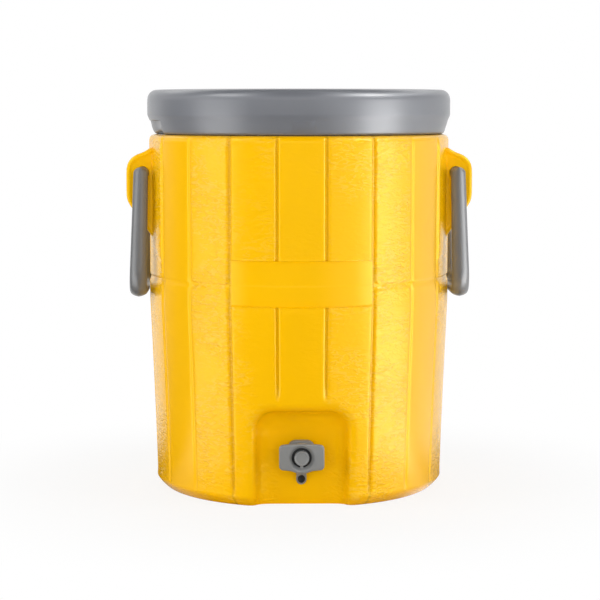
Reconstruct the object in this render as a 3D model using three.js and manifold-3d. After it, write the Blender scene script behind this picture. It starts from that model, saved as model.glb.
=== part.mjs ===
// Insulated beverage dispenser: a round double-walled barrel with moulded staves, a push-button tap in an
// alcove at the foot, two swing bails on side ears and a lift-off lid.
// Millimetres, +Z up, front towards -Y, origin at the centre of the base.

import * as THREE from 'three';
import { mergeVertices } from 'three/addons/utils/BufferGeometryUtils.js';
import Module from 'manifold-3d';

const wasm = await Module();
wasm.setup();

// Barrel
const bodyHeight = 407.4;
const bodyRadius = 173.5;
const bulgeSwell = 0.5;
const footInset = 7.5;
const footHeight = 13;
const baseInset = 7;
const baseRingWidth = 9;
const baseRecess = 5;
const topRounding = 5.5;
const shellWall = 3.5;
const lipWidth = 13;
const waistHeight = 245;
const bulgeDrop = 31;

// Staves, name plate and grooves
const staveCount = 20;
const plateStaves = 3;
const grooveWidth = 3.5;
const grooveDepth = 1.4;
const plateHeight = 50.9;
const plateRise = 2.9;
const plateDepth = 1.2;

// Tap alcove
const alcoveTop = 113;
const alcoveHalfWidth = 50;
const alcoveDepth = 31;
const alcoveCorner = 22;
const alcoveFlare = 5;
const alcoveFlareDepth = 12;

// Foam, liner and their plugs
const sideFoam = 18.5;
const floorFoam = 19.5;
const tapFoam = 7;
const linerWall = 3;
const linerDraft = 6;
const linerCorner = 8;
const linerFlangeWidth = 14.6;
const linerFlangeHeight = 2.5;
const linerStepRise = 14;
const fillHoleRadius = 12;
const ventHoleRadius = 7;
const plugFlange = 4;
const plugFlangeHeight = 2.3;

// Ears and bails
const earTopDrop = 15.4;
const earShoulderDrop = 26.4;
const earCorner = 22;
const earReach = 23.5;
const earKneeDrop = 70.4;
const earHeelDrop = 115.4;
const earHalfLength = 48;
const earEdge = 3;
const earWall = 4.5;
const pivotDrop = 43.4;
const pivotReach = 5;
const trunnionRadius = 7;
const trunnionLength = 14;
const bailSideGap = 1.5;
const bailDrop = 142.6;
const bailArmWidth = 16.4;
const bailGripWidth = 20;
const bailArmThickness = 16;
const bailGripThickness = 14;
const bailCorner = 26;
const bailLean = 5.6;

// Tap
const tapHeight = 56;
const shankRadius = 11;
const shankOverhang = 4;
const boreRadius = 6;
const collarRadius = 16.5;
const collarLength = 2.5;
const barrelRadius = 14;
const cavityWall = 1.7;
const chamberRadius = 8;
const chamberLength = 8;
const chamberSkin = 0.5;
const glandLength = 3;
const buttonTravel = 5.5;
const spoutRadius = 5.7;
const spoutBore = 4.1;
const spoutReach = 34;
const spoutSlantDegrees = 52;
const wingWidth = 50;
const wingHeight = 29.6;
const wingCorner = 4.5;
const bonnetThickness = 4.2;
const bonnetSkirtWall = 1.7;
const dishRadius = 14.5;
const dishDepth = 2.4;
const buttonRadius = 8.3;
const buttonStandOut = 2.5;
const buttonWall = 1.6;
const buttonFlange = 2;
const bonnetLip = 1.1;
const stemRadius = 3;
const stemNeck = 2.3;
const stemHeadLength = 2.9;
const ringSection = 0.85;
const washerLength = 0.8;
const springWire = 0.45;
const springTurns = 5.5;
const gasketThickness = 2.4;
const gasketWidth = 5;
const nutLength = 9;
const nutFlats = 34;
const sealRadius = 9;
const sealThickness = 3.5;

// Lid
const lidHeight = 50.6;
const lidOverhang = 1.5;
const lidWall = 3;
const lidRounding = 8;
const rimHeight = 32;
const rimStep = 1.6;
const skirtInset = 8;
const beadHeight = 2.7;
const beadSwell = 0.5;
const fieldDepth = 4;
const fieldInset = 18;
const fieldSlope = 4;
const fieldCrown = 1;
const recessHeight = 15.8;
const recessTopDepth = 10.5;
const recessFootDepth = 16.5;
const recessDegrees = 40;
const lidTurnDegrees = 17;
const plugDepth = 22;
const plugClearance = 2.5;
const plugChamfer = 4;
const gasketDrop = 5;
const gasketHeight = 4;
const gasketBite = 1.6;

// Clearances and one overrun for every cut
const fitGap = 0.3;
const pivotGap = 0.4;
const overrun = 10;

// Facets and the shares at which curved stretches are stepped
const roundSegments = 48;
const tapSegments = 20;
const staveSteps = 2;
const ringSteps = 8;
const bailSides = 12;
const bailSquareness = 0.7;
const halfShares = [0, 0.5, 1];
const taperShares = [0, 0.25, 0.5, 0.75, 1];
const bendShares = [0, 0.2, 0.4, 0.6, 0.8, 1];
const domeShares = [0.98, 0.86, 0.6, 0.3, 0];
const rimShares = [0, 0.33, 0.67, 1];
const baseStep = { heightShare: 0.35, radiusShare: 0.75 };
const taperEaseShare = 1.15;
const cornerShare = 0.3;

// Places worked out from the sizes above
const footRadius = bodyRadius - footInset;
const baseRadius = footRadius - baseInset;
const bulgeHeight = waistHeight - bulgeDrop;
const innerRadius = bodyRadius - shellWall;
const shellFloor = baseRecess + shellWall;
const lipRadius = innerRadius - lipWidth;
const linerRadius = innerRadius - sideFoam;
const linerBottom = shellFloor + floorFoam;
const alcoveWall = footRadius - alcoveDepth;
const linerFlat = alcoveWall - shellWall - tapFoam;
const linerInside = linerRadius - linerWall;
const flangeRadius = linerInside + linerFlangeWidth;
const flangeSeat = bodyHeight - linerFlangeHeight - fitGap;
const pivotX = bodyRadius + pivotReach;
const pivotZ = bodyHeight - pivotDrop;

// Colours and finishes
function plastic(color, roughness) {
  return new THREE.MeshStandardMaterial({ color, roughness, metalness: 0 });
}

const yellow = plastic(0xfec101, 0.45);
const grey = plastic(0x777a7f, 0.5);
const tapGrey = plastic(0x6c6f73, 0.45);
const white = plastic(0xf2f2ee, 0.4);
const foamCream = plastic(0xe8dca8, 0.95);
const rubber = plastic(0x2c2c2e, 0.8);
const silicone = plastic(0xdedfe0, 0.6);
const steel = new THREE.MeshStandardMaterial({ color: 0xb8babd, roughness: 0.3, metalness: 1 });

// Six times the signed volume between the origin and one triangle
function tetrahedron(position, a, b, c) {
  const first = new THREE.Vector3().fromBufferAttribute(position, a);
  const second = new THREE.Vector3().fromBufferAttribute(position, b);
  const third = new THREE.Vector3().fromBufferAttribute(position, c);
  return first.dot(second.cross(third));
}

// A solid from a closed three.js geometry, with its faces pointing out
function solid(geometry) {
  const bare = geometry.clone();
  bare.deleteAttribute('normal');
  bare.deleteAttribute('uv');
  const merged = mergeVertices(bare);
  const index = merged.index.array;
  const kept = [];
  let volume = 0;
  for (let i = 0; i < index.length; i += 3) {
    const [a, b, c] = [index[i], index[i + 1], index[i + 2]];
    if (a === b || b === c || c === a) continue;
    kept.push(a, b, c);
    volume += tetrahedron(merged.attributes.position, a, b, c);
  }
  if (volume < 0) kept.reverse();
  const vertProperties = new Float32Array(merged.attributes.position.array);
  return new wasm.Manifold(new wasm.Mesh({ numProp: 3, vertProperties, triVerts: new Uint32Array(kept) }));
}

// A named mesh from a solid
function piece(name, body, material) {
  const data = body.getMesh();
  const geometry = new THREE.BufferGeometry();
  geometry.setAttribute('position', new THREE.BufferAttribute(data.vertProperties, data.numProp));
  geometry.setIndex(new THREE.BufferAttribute(data.triVerts, 1));
  const faceted = geometry.toNonIndexed();
  faceted.computeVertexNormals();
  const mesh = new THREE.Mesh(faceted, material);
  mesh.name = name;
  return mesh;
}

// A profile of [radius, height] pairs turned about Z
function turned(profile, segments = roundSegments) {
  const points = profile.map(([radius, height]) => new THREE.Vector2(radius, height));
  return solid(new THREE.LatheGeometry(points, segments).rotateX(Math.PI / 2));
}

// A profile of [radius, y] pairs turned about Y, for the tap
function turnedAlongY(profile, segments = tapSegments) {
  const points = profile.map(([radius, along]) => new THREE.Vector2(radius, along));
  return solid(new THREE.LatheGeometry(points, segments));
}

// A solid cylinder along Y between two places
function rod(radius, from, to, segments = tapSegments) {
  return turnedAlongY([[0, from], [radius, from], [radius, to], [0, to]], segments);
}

// A ring along Y between two places
function ring(inside, outside, from, to) {
  return turnedAlongY([[inside, from], [outside, from], [outside, to], [inside, to], [inside, from]]);
}

// An outline in X and Z drawn out along Y between two places
function drawnAlongY(shape, from, to, bevel = {}) {
  const { size = 0, thickness = 0, segments = 1 } = bevel;
  const options = {
    depth: to - from - 2 * thickness,
    bevelEnabled: thickness > 0,
    bevelSize: size,
    bevelThickness: thickness,
    bevelSegments: segments,
    curveSegments: 6,
    steps: 1,
  };
  const geometry = new THREE.ExtrudeGeometry(shape, options);
  return solid(geometry.rotateX(Math.PI / 2).translate(0, to - thickness, 0));
}

// A closed skin over a stack of point rings that all have the same count
function skinned(rings) {
  const count = rings[0].length;
  const points = rings.flat();
  const triangles = [];
  for (let level = 0; level + 1 < rings.length; level++) {
    for (let k = 0; k < count; k++) {
      const here = level * count + k;
      const beside = level * count + ((k + 1) % count);
      triangles.push(here, beside, beside + count, here, beside + count, here + count);
    }
  }
  const ends = [[0, rings[0], true], [(rings.length - 1) * count, rings[rings.length - 1], false]];
  for (const [start, ringPoints, isFirst] of ends) {
    const middle = ringPoints.reduce((sum, p) => sum.add(p), new THREE.Vector3()).divideScalar(count);
    points.push(middle);
    for (let k = 0; k < count; k++) {
      const next = start + ((k + 1) % count);
      const corners = isFirst ? [next, start + k] : [start + k, next];
      triangles.push(...corners, points.length - 1);
    }
  }
  const geometry = new THREE.BufferGeometry().setFromPoints(points);
  geometry.setIndex(triangles);
  return solid(geometry);
}

// Radius of the barrel's face at a height, groove and plate left aside
function barrelRadiusAt(z) {
  if (z >= waistHeight) return bodyRadius;
  if (z >= bulgeHeight) return bodyRadius + bulgeSwell;
  const share = Math.max(0, (z - footHeight) / (bulgeHeight - footHeight));
  const eased = THREE.MathUtils.smoothstep(share ** taperEaseShare, 0, 1);
  return footRadius + (bodyRadius + bulgeSwell - footRadius) * eased;
}

// The barrel as a filled body: staves with grooves between them, a waist groove and a sunk plate
function barrelBody() {
  const staveAngle = (2 * Math.PI) / staveCount;
  const grooveAngle = grooveWidth / 2 / bodyRadius;
  const plateAngle = (plateStaves * staveAngle) / 2;
  const plateLow = waistHeight + plateRise - plateHeight / 2;
  const plateHigh = plateLow + plateHeight;

  const columns = [];
  for (let stave = 0; stave < staveCount; stave++) {
    const start = (stave - 0.5) * staveAngle;
    columns.push({ angle: start, isGroove: true });
    for (let step = 0; step <= staveSteps; step++) {
      const share = step / staveSteps;
      const angle = start + grooveAngle + share * (staveAngle - 2 * grooveAngle);
      columns.push({ angle, isGroove: false });
    }
  }

  const levels = [
    { z: 0, radius: baseRadius },
    { z: footHeight * baseStep.heightShare, radius: baseRadius + baseInset * baseStep.radiusShare },
  ];
  for (const share of taperShares) {
    levels.push({ z: footHeight + share * (bulgeHeight - footHeight) });
  }
  levels.push(
    { z: plateLow },
    { z: plateLow + plateDepth },
    { z: waistHeight - grooveWidth / 2 },
    { z: waistHeight, isWaist: true },
    { z: waistHeight + grooveWidth / 2 },
    { z: plateHigh - plateDepth },
    { z: plateHigh },
  );
  for (const share of halfShares) {
    const turn = (share * Math.PI) / 2;
    levels.push({
      z: bodyHeight - topRounding * (1 - Math.sin(turn)),
      radius: bodyRadius - topRounding * (1 - Math.cos(turn)),
    });
  }

  const rings = levels.map(({ z, radius = barrelRadiusAt(z), isWaist = false }) => columns.map((column) => {
    const turn = column.angle > Math.PI ? column.angle - 2 * Math.PI : column.angle;
    const isPlate = z > plateLow && z < plateHigh && Math.abs(turn) < plateAngle;
    const isSunk = column.isGroove || isWaist;
    const reach = isPlate ? bodyRadius - plateDepth : radius - (isSunk ? grooveDepth : 0);
    return new THREE.Vector3(reach * Math.sin(column.angle), -reach * Math.cos(column.angle), z);
  }));
  return skinned(rings);
}

// The space of the tap alcove, grown by a wall where the pieces behind it follow its shape
function alcoveSpace(grow = 0) {
  const half = alcoveHalfWidth - alcoveFlare + grow;
  const top = alcoveTop - alcoveFlare + grow;
  const corner = alcoveCorner - alcoveFlare + grow;
  const shape = new THREE.Shape();
  shape.moveTo(-half, -overrun);
  shape.lineTo(half, -overrun);
  shape.lineTo(half, top - corner);
  shape.absarc(half - corner, top - corner, corner, 0, Math.PI / 2);
  shape.lineTo(corner - half, top);
  shape.absarc(corner - half, top - corner, corner, Math.PI / 2, Math.PI);
  const bevel = { size: alcoveFlare, thickness: alcoveFlareDepth, segments: 2 };
  const front = -bodyRadius - overrun - alcoveFlareDepth;
  return drawnAlongY(shape, front, grow - alcoveWall, bevel);
}

// The outline of an ear in X and Z, drawn in by an inset
function earShape(inset = 0) {
  const outside = bodyRadius + earReach - inset;
  const root = linerRadius;
  const shoulder = bodyHeight - earShoulderDrop - inset;
  const knee = bodyHeight - earKneeDrop;
  const heel = bodyHeight - earHeelDrop + inset;
  const shape = new THREE.Shape();
  shape.moveTo(root, bodyHeight - earTopDrop - inset);
  shape.lineTo(outside - earCorner, shoulder + (earShoulderDrop - earTopDrop) / 2);
  shape.quadraticCurveTo(outside, shoulder, outside, shoulder - earCorner);
  shape.lineTo(outside, knee);
  shape.lineTo(innerRadius, heel);
  shape.lineTo(root, heel);
  shape.closePath();
  return shape;
}

// Both ears of one kind, the second turned half way round
function bothSides(body) {
  return body.add(body.rotate([0, 0, 180]));
}

// The space that the foam fills, inside the shell's walls, drawn in by a gap and cut off at a top
function foamSpace(gap, top) {
  const wall = shellWall + gap;
  const levels = taperShares.map((share) => {
    const z = Math.max(shellFloor + gap, footHeight) + share * (bulgeHeight - footHeight);
    return [barrelRadiusAt(z) - wall, z];
  });
  const lipUnder = flangeSeat - shellWall - gap;
  const barrel = turned([
    [0, shellFloor + gap],
    [baseRadius - wall, shellFloor + gap],
    ...levels,
    [bodyRadius - wall, waistHeight],
    [bodyRadius - wall, lipUnder],
    [lipRadius - gap, lipUnder],
    [lipRadius - gap, top],
    [0, top],
  ]);
  const pocketHalf = earHalfLength - trunnionLength - 2 * pivotGap - earWall - gap;
  const pockets = bothSides(drawnAlongY(earShape(earWall + gap), -pocketHalf, pocketHalf));
  return barrel.add(pockets).subtract(alcoveSpace(wall));
}

// The liner's outside when the inset is zero, its inside when the inset is the wall
function linerBody(inset, top) {
  const radius = linerRadius - inset;
  const bottom = linerBottom + inset;
  const corner = linerCorner - Math.max(0, inset) / 2;
  const tub = turned([
    [0, bottom],
    [radius - linerDraft - corner, bottom],
    [radius - linerDraft - corner * cornerShare, bottom + corner * cornerShare],
    [radius - linerDraft, bottom + corner],
    [radius, bodyHeight - linerDraft],
    [radius, top],
    [0, top],
  ]);
  const flat = linerFlat - inset;
  const stepFoot = alcoveTop + linerStepRise + inset / 2;
  const front = bodyRadius + overrun;
  const cut = new THREE.Shape();
  cut.moveTo(-flat, -overrun);
  cut.lineTo(-flat, stepFoot);
  cut.lineTo(-front, stepFoot + front - flat);
  cut.lineTo(-front, -overrun);
  cut.closePath();
  const options = { depth: 2 * bodyRadius, bevelEnabled: false, steps: 1 };
  const slab = new THREE.ExtrudeGeometry(cut, options);
  slab.translate(0, 0, -bodyRadius).rotateX(Math.PI / 2).rotateZ(Math.PI / 2);
  return tub.subtract(solid(slab));
}

// A hole along Y for the tap's shank, from the front of the alcove's wall into the tub
function shankHole() {
  const from = -alcoveWall - overrun;
  return rod(shankRadius + fitGap, from, overrun - linerFlat).translate([0, 0, tapHeight]);
}

// Centres of the two foam holes in the base
const fillPlace = [-baseRadius / 3, baseRadius / 3];
const ventPlace = [baseRadius / 3, baseRadius / 3];

function outerShell() {
  const ear = drawnAlongY(
    earShape(earEdge),
    -earHalfLength,
    earHalfLength,
    { size: earEdge, thickness: earEdge, segments: 2 },
  );
  const socketFrom = earHalfLength - trunnionLength - 2 * pivotGap;
  const socket = rod(trunnionRadius + pivotGap, socketFrom, earHalfLength + overrun)
    .translate([pivotX, 0, pivotZ]);
  const sockets = bothSides(socket.add(socket.mirror([0, 1, 0])));
  const seat = turned([
    [0, flangeSeat],
    [flangeRadius + fitGap, flangeSeat],
    [flangeRadius + fitGap, bodyHeight + overrun],
    [0, bodyHeight + overrun],
  ]);
  const recessRadius = baseRadius - baseRingWidth;
  const recess = turned([
    [0, -overrun],
    [recessRadius, -overrun],
    [recessRadius, baseRecess],
    [0, baseRecess],
  ]);
  const fillHole = rodUp(fillHoleRadius, -overrun, shellFloor + overrun, fillPlace);
  const ventHole = rodUp(ventHoleRadius, -overrun, shellFloor + overrun, ventPlace);
  return barrelBody()
    .add(bothSides(ear))
    .subtract(alcoveSpace())
    .subtract(foamSpace(0, bodyHeight + overrun))
    .subtract(sockets)
    .subtract(seat)
    .subtract(recess.subtract(alcoveSpace(shellWall)))
    .subtract(shankHole())
    .subtract(fillHole)
    .subtract(ventHole);
}

// A solid cylinder along Z at a place in plan
function rodUp(radius, from, to, [x, y]) {
  return turned([[0, from], [radius, from], [radius, to], [0, to]], tapSegments).translate([x, y, 0]);
}

function insulationFoam() {
  return foamSpace(fitGap, flangeSeat - fitGap)
    .subtract(linerBody(-fitGap, bodyHeight))
    .subtract(shankHole());
}

function innerLiner() {
  const flange = turned([
    [linerRadius - linerWall / 2, flangeSeat + fitGap],
    [flangeRadius, flangeSeat + fitGap],
    [flangeRadius, bodyHeight],
    [linerRadius - linerWall / 2, bodyHeight],
    [linerRadius - linerWall / 2, flangeSeat + fitGap],
  ]);
  return linerBody(0, bodyHeight)
    .add(flange)
    .subtract(linerBody(linerWall, bodyHeight + overrun))
    .subtract(shankHole());
}

// A plug for a hole in the base, with its flange under the floor
function basePlug(holeRadius, place) {
  const top = baseRecess - fitGap;
  return turned([
    [0, top - plugFlangeHeight],
    [holeRadius + plugFlange, top - plugFlangeHeight],
    [holeRadius + plugFlange, top],
    [holeRadius - fitGap, top],
    [holeRadius - fitGap, shellFloor],
    [0, shellFloor],
  ], tapSegments).translate([...place, 0]);
}

// One bail about its own pivot: arms at both ends of the ear, a grip between them, blind trunnions
function bail() {
  const armY = earHalfLength + bailSideGap + bailArmThickness / 2;
  const gripZ = bailGripThickness / 2 - bailDrop;
  const armHalf = bailArmWidth / 2;

  // Stations down one arm, round the corner and half way along the grip
  const stations = domeShares.map((share) => ({ y: -armY, z: share * armHalf, turn: 0 }));
  stations.push({ y: -armY, z: (gripZ + bailCorner) / 2, turn: 0 });
  for (const share of bendShares) {
    const turn = (share * Math.PI) / 2;
    stations.push({
      y: bailCorner * (1 - Math.cos(turn)) - armY,
      z: gripZ + bailCorner * (1 - Math.sin(turn)),
      turn,
    });
  }
  const sections = stations.map(({ y, z, turn }) => {
    const depthShare = Math.max(0, z / gripZ);
    const width = THREE.MathUtils.lerp(bailArmWidth, bailGripWidth, depthShare);
    const round = Math.min(1, Math.sqrt(Math.max(0, 1 - (Math.max(0, z) / armHalf) ** 2)));
    const thickness = THREE.MathUtils.lerp(bailArmThickness, bailGripThickness, turn / (Math.PI / 2));
    return { y, z, turn, x: bailLean * depthShare, halfX: (width / 2) * round, halfT: thickness / 2 };
  });
  const farSide = sections.map((s) => ({ ...s, y: -s.y, turn: Math.PI - s.turn })).reverse();

  const rings = [...sections, ...farSide].map(({ x, y, z, turn, halfX, halfT }) => {
    const points = [];
    for (let k = 0; k < bailSides; k++) {
      const around = ((k + 0.5) * 2 * Math.PI) / bailSides;
      const across = Math.sign(Math.cos(around)) * Math.abs(Math.cos(around)) ** bailSquareness;
      const out = Math.sign(Math.sin(around)) * Math.abs(Math.sin(around)) ** bailSquareness;
      const offset = out * halfT;
      points.push(new THREE.Vector3(
        x + across * halfX,
        y - offset * Math.cos(turn),
        z - offset * Math.sin(turn),
      ));
    }
    return points;
  });
  const inside = earHalfLength - trunnionLength - pivotGap;
  const trunnion = rod(trunnionRadius, inside, armY);
  return skinned(rings).add(trunnion).add(trunnion.mirror([0, 1, 0]));
}

// Places along the tap's own axis, zero at the face of the alcove's wall and negative to the front
const collarBack = -gasketThickness - 2 * fitGap;
const collarFront = collarBack - collarLength;
const chamberBack = collarBack - chamberSkin;
const chamberFront = chamberBack - chamberLength;
const glandFront = chamberFront - glandLength;
const cavityRadius = barrelRadius - cavityWall;
const buttonRest = glandFront - buttonTravel - 2 * fitGap;
const barrelFront = buttonRest - buttonFlange;
const bonnetBack = barrelFront - fitGap;
const bonnetFront = bonnetBack - bonnetThickness;
const buttonFront = bonnetFront - buttonStandOut;
const capUnder = buttonFront + buttonWall;
const linerFace = alcoveWall - linerFlat + linerWall;
const nutFrom = linerFace + gasketThickness + 2 * fitGap;
const shankEnd = nutFrom + nutLength + shankOverhang;
const sealFrom = shankEnd + fitGap;
const sealTo = sealFrom + sealThickness;
const spoutAxis = (chamberBack + chamberFront) / 2;
const counterbore = stemRadius + 2 * ringSection + 2 * fitGap;
const bossEnd = glandFront - washerLength - 3 * fitGap - buttonTravel;

function tapBody() {
  const outside = turnedAlongY([
    [0, barrelFront],
    [barrelRadius, barrelFront],
    [barrelRadius, collarFront],
    [collarRadius, collarFront],
    [collarRadius, collarBack],
    [shankRadius, collarBack],
    [shankRadius, shankEnd],
    [0, shankEnd],
  ]);
  const inside = turnedAlongY([
    [0, barrelFront - overrun],
    [cavityRadius, barrelFront - overrun],
    [cavityRadius, glandFront],
    [counterbore, glandFront],
    [counterbore, glandFront + 2 * ringSection + 2 * fitGap],
    [stemRadius + fitGap, glandFront + 2 * ringSection + 2 * fitGap],
    [stemRadius + fitGap, chamberFront],
    [chamberRadius, chamberFront],
    [chamberRadius, chamberBack],
    [boreRadius, chamberBack],
    [boreRadius, shankEnd + overrun],
    [0, shankEnd + overrun],
  ]);
  const spoutPlace = [0, spoutAxis];
  const spoutTube = rodUp(spoutRadius, -spoutReach, 0, spoutPlace);
  const spoutHole = rodUp(spoutBore, -spoutReach - overrun, 0, spoutPlace);
  const gasketZone = rod(collarRadius + fitGap, collarBack, overrun);
  const mouthSize = 8 * spoutRadius;
  const mouthCut = solid(
    new THREE.BoxGeometry(mouthSize, mouthSize, mouthSize)
      .translate(0, 0, -mouthSize / 2)
      .rotateX(-THREE.MathUtils.degToRad(spoutSlantDegrees))
      .translate(0, spoutAxis + spoutRadius, -spoutReach),
  );
  return outside
    .add(spoutTube.subtract(gasketZone).subtract(mouthCut))
    .subtract(inside)
    .subtract(spoutHole);
}

function tapBonnet() {
  const halfWidth = wingWidth / 2;
  const halfHeight = wingHeight / 2;
  const plate = new THREE.Shape();
  plate.moveTo(wingCorner - halfWidth, -halfHeight);
  plate.absarc(halfWidth - wingCorner, wingCorner - halfHeight, wingCorner, -Math.PI / 2, 0);
  plate.absarc(halfWidth - wingCorner, halfHeight - wingCorner, wingCorner, 0, Math.PI / 2);
  plate.absarc(wingCorner - halfWidth, halfHeight - wingCorner, wingCorner, Math.PI / 2, Math.PI);
  plate.absarc(wingCorner - halfWidth, wingCorner - halfHeight, wingCorner, Math.PI, 1.5 * Math.PI);
  const skirtInside = barrelRadius + fitGap;
  const skirtOutside = skirtInside + bonnetSkirtWall;
  const skirtBack = spoutAxis - spoutRadius - 2 * fitGap;
  const hole = cavityRadius - bonnetLip;
  return drawnAlongY(plate, bonnetFront, bonnetBack)
    .add(rod(skirtOutside, bonnetFront, skirtBack))
    .subtract(rod(skirtInside, bonnetBack, overrun))
    .subtract(turnedAlongY([
      [0, bonnetFront - overrun],
      [dishRadius, bonnetFront - overrun],
      [dishRadius, bonnetFront],
      [hole, bonnetFront + dishDepth],
      [hole, bonnetBack + overrun],
      [0, bonnetBack + overrun],
    ]));
}

function pushButton() {
  const inside = buttonRadius - buttonWall;
  const chamfer = buttonWall / 2;
  return turnedAlongY([
    [0, buttonFront],
    [buttonRadius - chamfer, buttonFront],
    [buttonRadius, buttonFront + chamfer],
    [buttonRadius, barrelFront],
    [cavityRadius - fitGap, barrelFront],
    [cavityRadius - fitGap, buttonRest],
    [inside, buttonRest],
    [inside, capUnder],
    [stemNeck + 2 * fitGap + buttonWall, capUnder],
    [stemNeck + 2 * fitGap + buttonWall, bossEnd],
    [stemNeck + fitGap, bossEnd],
    [stemNeck + fitGap, capUnder],
    [0, capUnder],
  ]);
}

function plungerStem() {
  return turnedAlongY([
    [0, capUnder + fitGap],
    [stemNeck, capUnder + fitGap],
    [stemNeck, bossEnd + fitGap],
    [stemRadius, bossEnd + fitGap],
    [stemRadius, sealFrom - fitGap],
    [stemNeck - fitGap, sealFrom - fitGap],
    [stemNeck - fitGap, sealTo + fitGap],
    [stemRadius + fitGap, sealTo + fitGap],
    [stemNeck, sealTo + fitGap + stemHeadLength],
    [0, sealTo + fitGap + stemHeadLength],
  ], 20);
}

function valveSeal() {
  const chamfer = sealThickness / 4;
  return turnedAlongY([
    [stemNeck, sealFrom],
    [sealRadius, sealFrom],
    [sealRadius, sealTo - chamfer],
    [sealRadius - chamfer, sealTo],
    [stemNeck, sealTo],
    [stemNeck, sealFrom],
  ]);
}

function stemRing() {
  const middle = stemRadius + fitGap + ringSection;
  const along = glandFront + ringSection + fitGap;
  const profile = [];
  for (let k = 0; k <= ringSteps; k++) {
    const turn = (k * 2 * Math.PI) / ringSteps;
    profile.push([middle + ringSection * Math.cos(turn), along + ringSection * Math.sin(turn)]);
  }
  return turnedAlongY(profile, 20);
}

function springWasher() {
  const from = glandFront - fitGap - washerLength;
  const outside = buttonRadius - buttonWall - pivotGap;
  return ring(stemRadius + fitGap, outside, from, from + washerLength);
}

// Spring coils between the washer and the cap, with straight steps of an eighth of a turn
class SpringLine extends THREE.Curve {
  getPoint(share, target = new THREE.Vector3()) {
    const radius = buttonRadius - buttonWall - pivotGap - fitGap - springWire;
    const from = glandFront - washerLength - 2 * fitGap - springWire;
    const to = capUnder + fitGap + springWire;
    const turn = share * springTurns * 2 * Math.PI;
    const along = THREE.MathUtils.lerp(from, to, share);
    return target.set(radius * Math.cos(turn), along, radius * Math.sin(turn));
  }
}

function returnSpring() {
  const wire = new THREE.Shape().absarc(0, 0, springWire, 0, 2 * Math.PI);
  const options = { extrudePath: new SpringLine(), steps: springTurns * 8, curveSegments: 3 };
  return solid(new THREE.ExtrudeGeometry(wire, options));
}

function shankGasket(from, to) {
  return ring(shankRadius + fitGap, shankRadius + gasketWidth, from, to);
}

function shankNut() {
  const corner = nutFlats / 2 / Math.cos(Math.PI / 6);
  const nutTo = nutFrom + nutLength;
  const hole = rod(shankRadius + fitGap, nutFrom - overrun, nutTo + overrun);
  return rod(corner, nutFrom, nutTo, 6).subtract(hole);
}

// Heights in the lid's own frame, zero at the top of the barrel
const lidFoot = fitGap;
const rimFoot = lidHeight - rimHeight;
const lidRadius = bodyRadius + lidOverhang;

// The lid's outside when the inset is zero, its hollow when the inset is the wall
function lidBody(inset = 0) {
  const radius = lidRadius - inset;
  const foot = bodyRadius - skirtInset - inset;
  const rounding = lidRounding - inset;
  const isOutside = inset === 0;
  const profile = [[0, isOutside ? lidFoot : lidFoot - overrun]];
  if (isOutside) {
    profile.push([foot, lidFoot], [foot + beadSwell, lidFoot + beadHeight / 2], [foot, lidFoot + beadHeight]);
  } else {
    profile.push([foot, lidFoot - overrun], [foot, lidFoot + beadHeight]);
  }
  profile.push([radius - rimStep, rimFoot + inset / 2], [radius, rimFoot + inset / 2]);
  for (const share of rimShares) {
    const turn = (share * Math.PI) / 2;
    profile.push([
      radius - rounding * (1 - Math.cos(turn)),
      lidHeight - inset - rounding * (1 - Math.sin(turn)),
    ]);
  }
  profile.push(
    [lidRadius - fieldInset, lidHeight - inset],
    [lidRadius - fieldInset - fieldSlope, lidHeight - fieldDepth - inset],
    [0, lidHeight - fieldDepth + fieldCrown - inset],
  );
  return turned(profile);
}

// The two finger recesses under the rim, grown by a wall where the pieces inside follow them
function lidRecesses(grow = 0) {
  const outside = lidRadius + overrun;
  const half = THREE.MathUtils.degToRad(recessDegrees / 2) + grow / lidRadius;
  const band = turned([
    [lidRadius - recessFootDepth - grow, lidFoot - overrun],
    [outside, lidFoot - overrun],
    [outside, recessHeight + grow],
    [lidRadius - recessTopDepth - grow, recessHeight + grow],
    [lidRadius - recessFootDepth - grow, lidFoot],
    [lidRadius - recessFootDepth - grow, lidFoot - overrun],
  ]);
  const reach = 2 * outside;
  const wedge = new THREE.Shape();
  wedge.moveTo(0, 0);
  wedge.lineTo(reach, -reach * Math.tan(half));
  wedge.lineTo(reach, reach * Math.tan(half));
  wedge.closePath();
  const options = { depth: lidHeight + 2 * overrun, bevelEnabled: false, steps: 1 };
  const sector = solid(new THREE.ExtrudeGeometry(wedge, options).translate(0, 0, -2 * overrun));
  return bothSides(sector.intersect(band));
}

function lidShell() {
  const hollow = lidBody(lidWall).subtract(lidRecesses(lidWall));
  return lidBody().subtract(lidRecesses()).subtract(hollow);
}

const plugRadius = linerInside - plugClearance;
const grooveRadius = plugRadius - gasketBite;

function lidLiner() {
  const flangeEdge = bodyRadius - skirtInset - lidWall - fitGap;
  const flangeTop = lidFoot + beadHeight - fitGap;
  const inside = plugRadius - lidWall;
  return turned([
    [0, -plugDepth],
    [plugRadius - plugChamfer, -plugDepth],
    [plugRadius, plugChamfer - plugDepth],
    [plugRadius, -gasketDrop - gasketHeight],
    [grooveRadius, -gasketDrop - gasketHeight],
    [grooveRadius, -gasketDrop],
    [plugRadius, -gasketDrop],
    [plugRadius, lidFoot],
    [flangeEdge, lidFoot],
    [flangeEdge, flangeTop],
    [inside, flangeTop],
    [inside, lidWall - plugDepth + plugChamfer / 2],
    [inside - plugChamfer / 2, lidWall - plugDepth],
    [0, lidWall - plugDepth],
  ]).subtract(lidRecesses(lidWall + fitGap));
}

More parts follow.
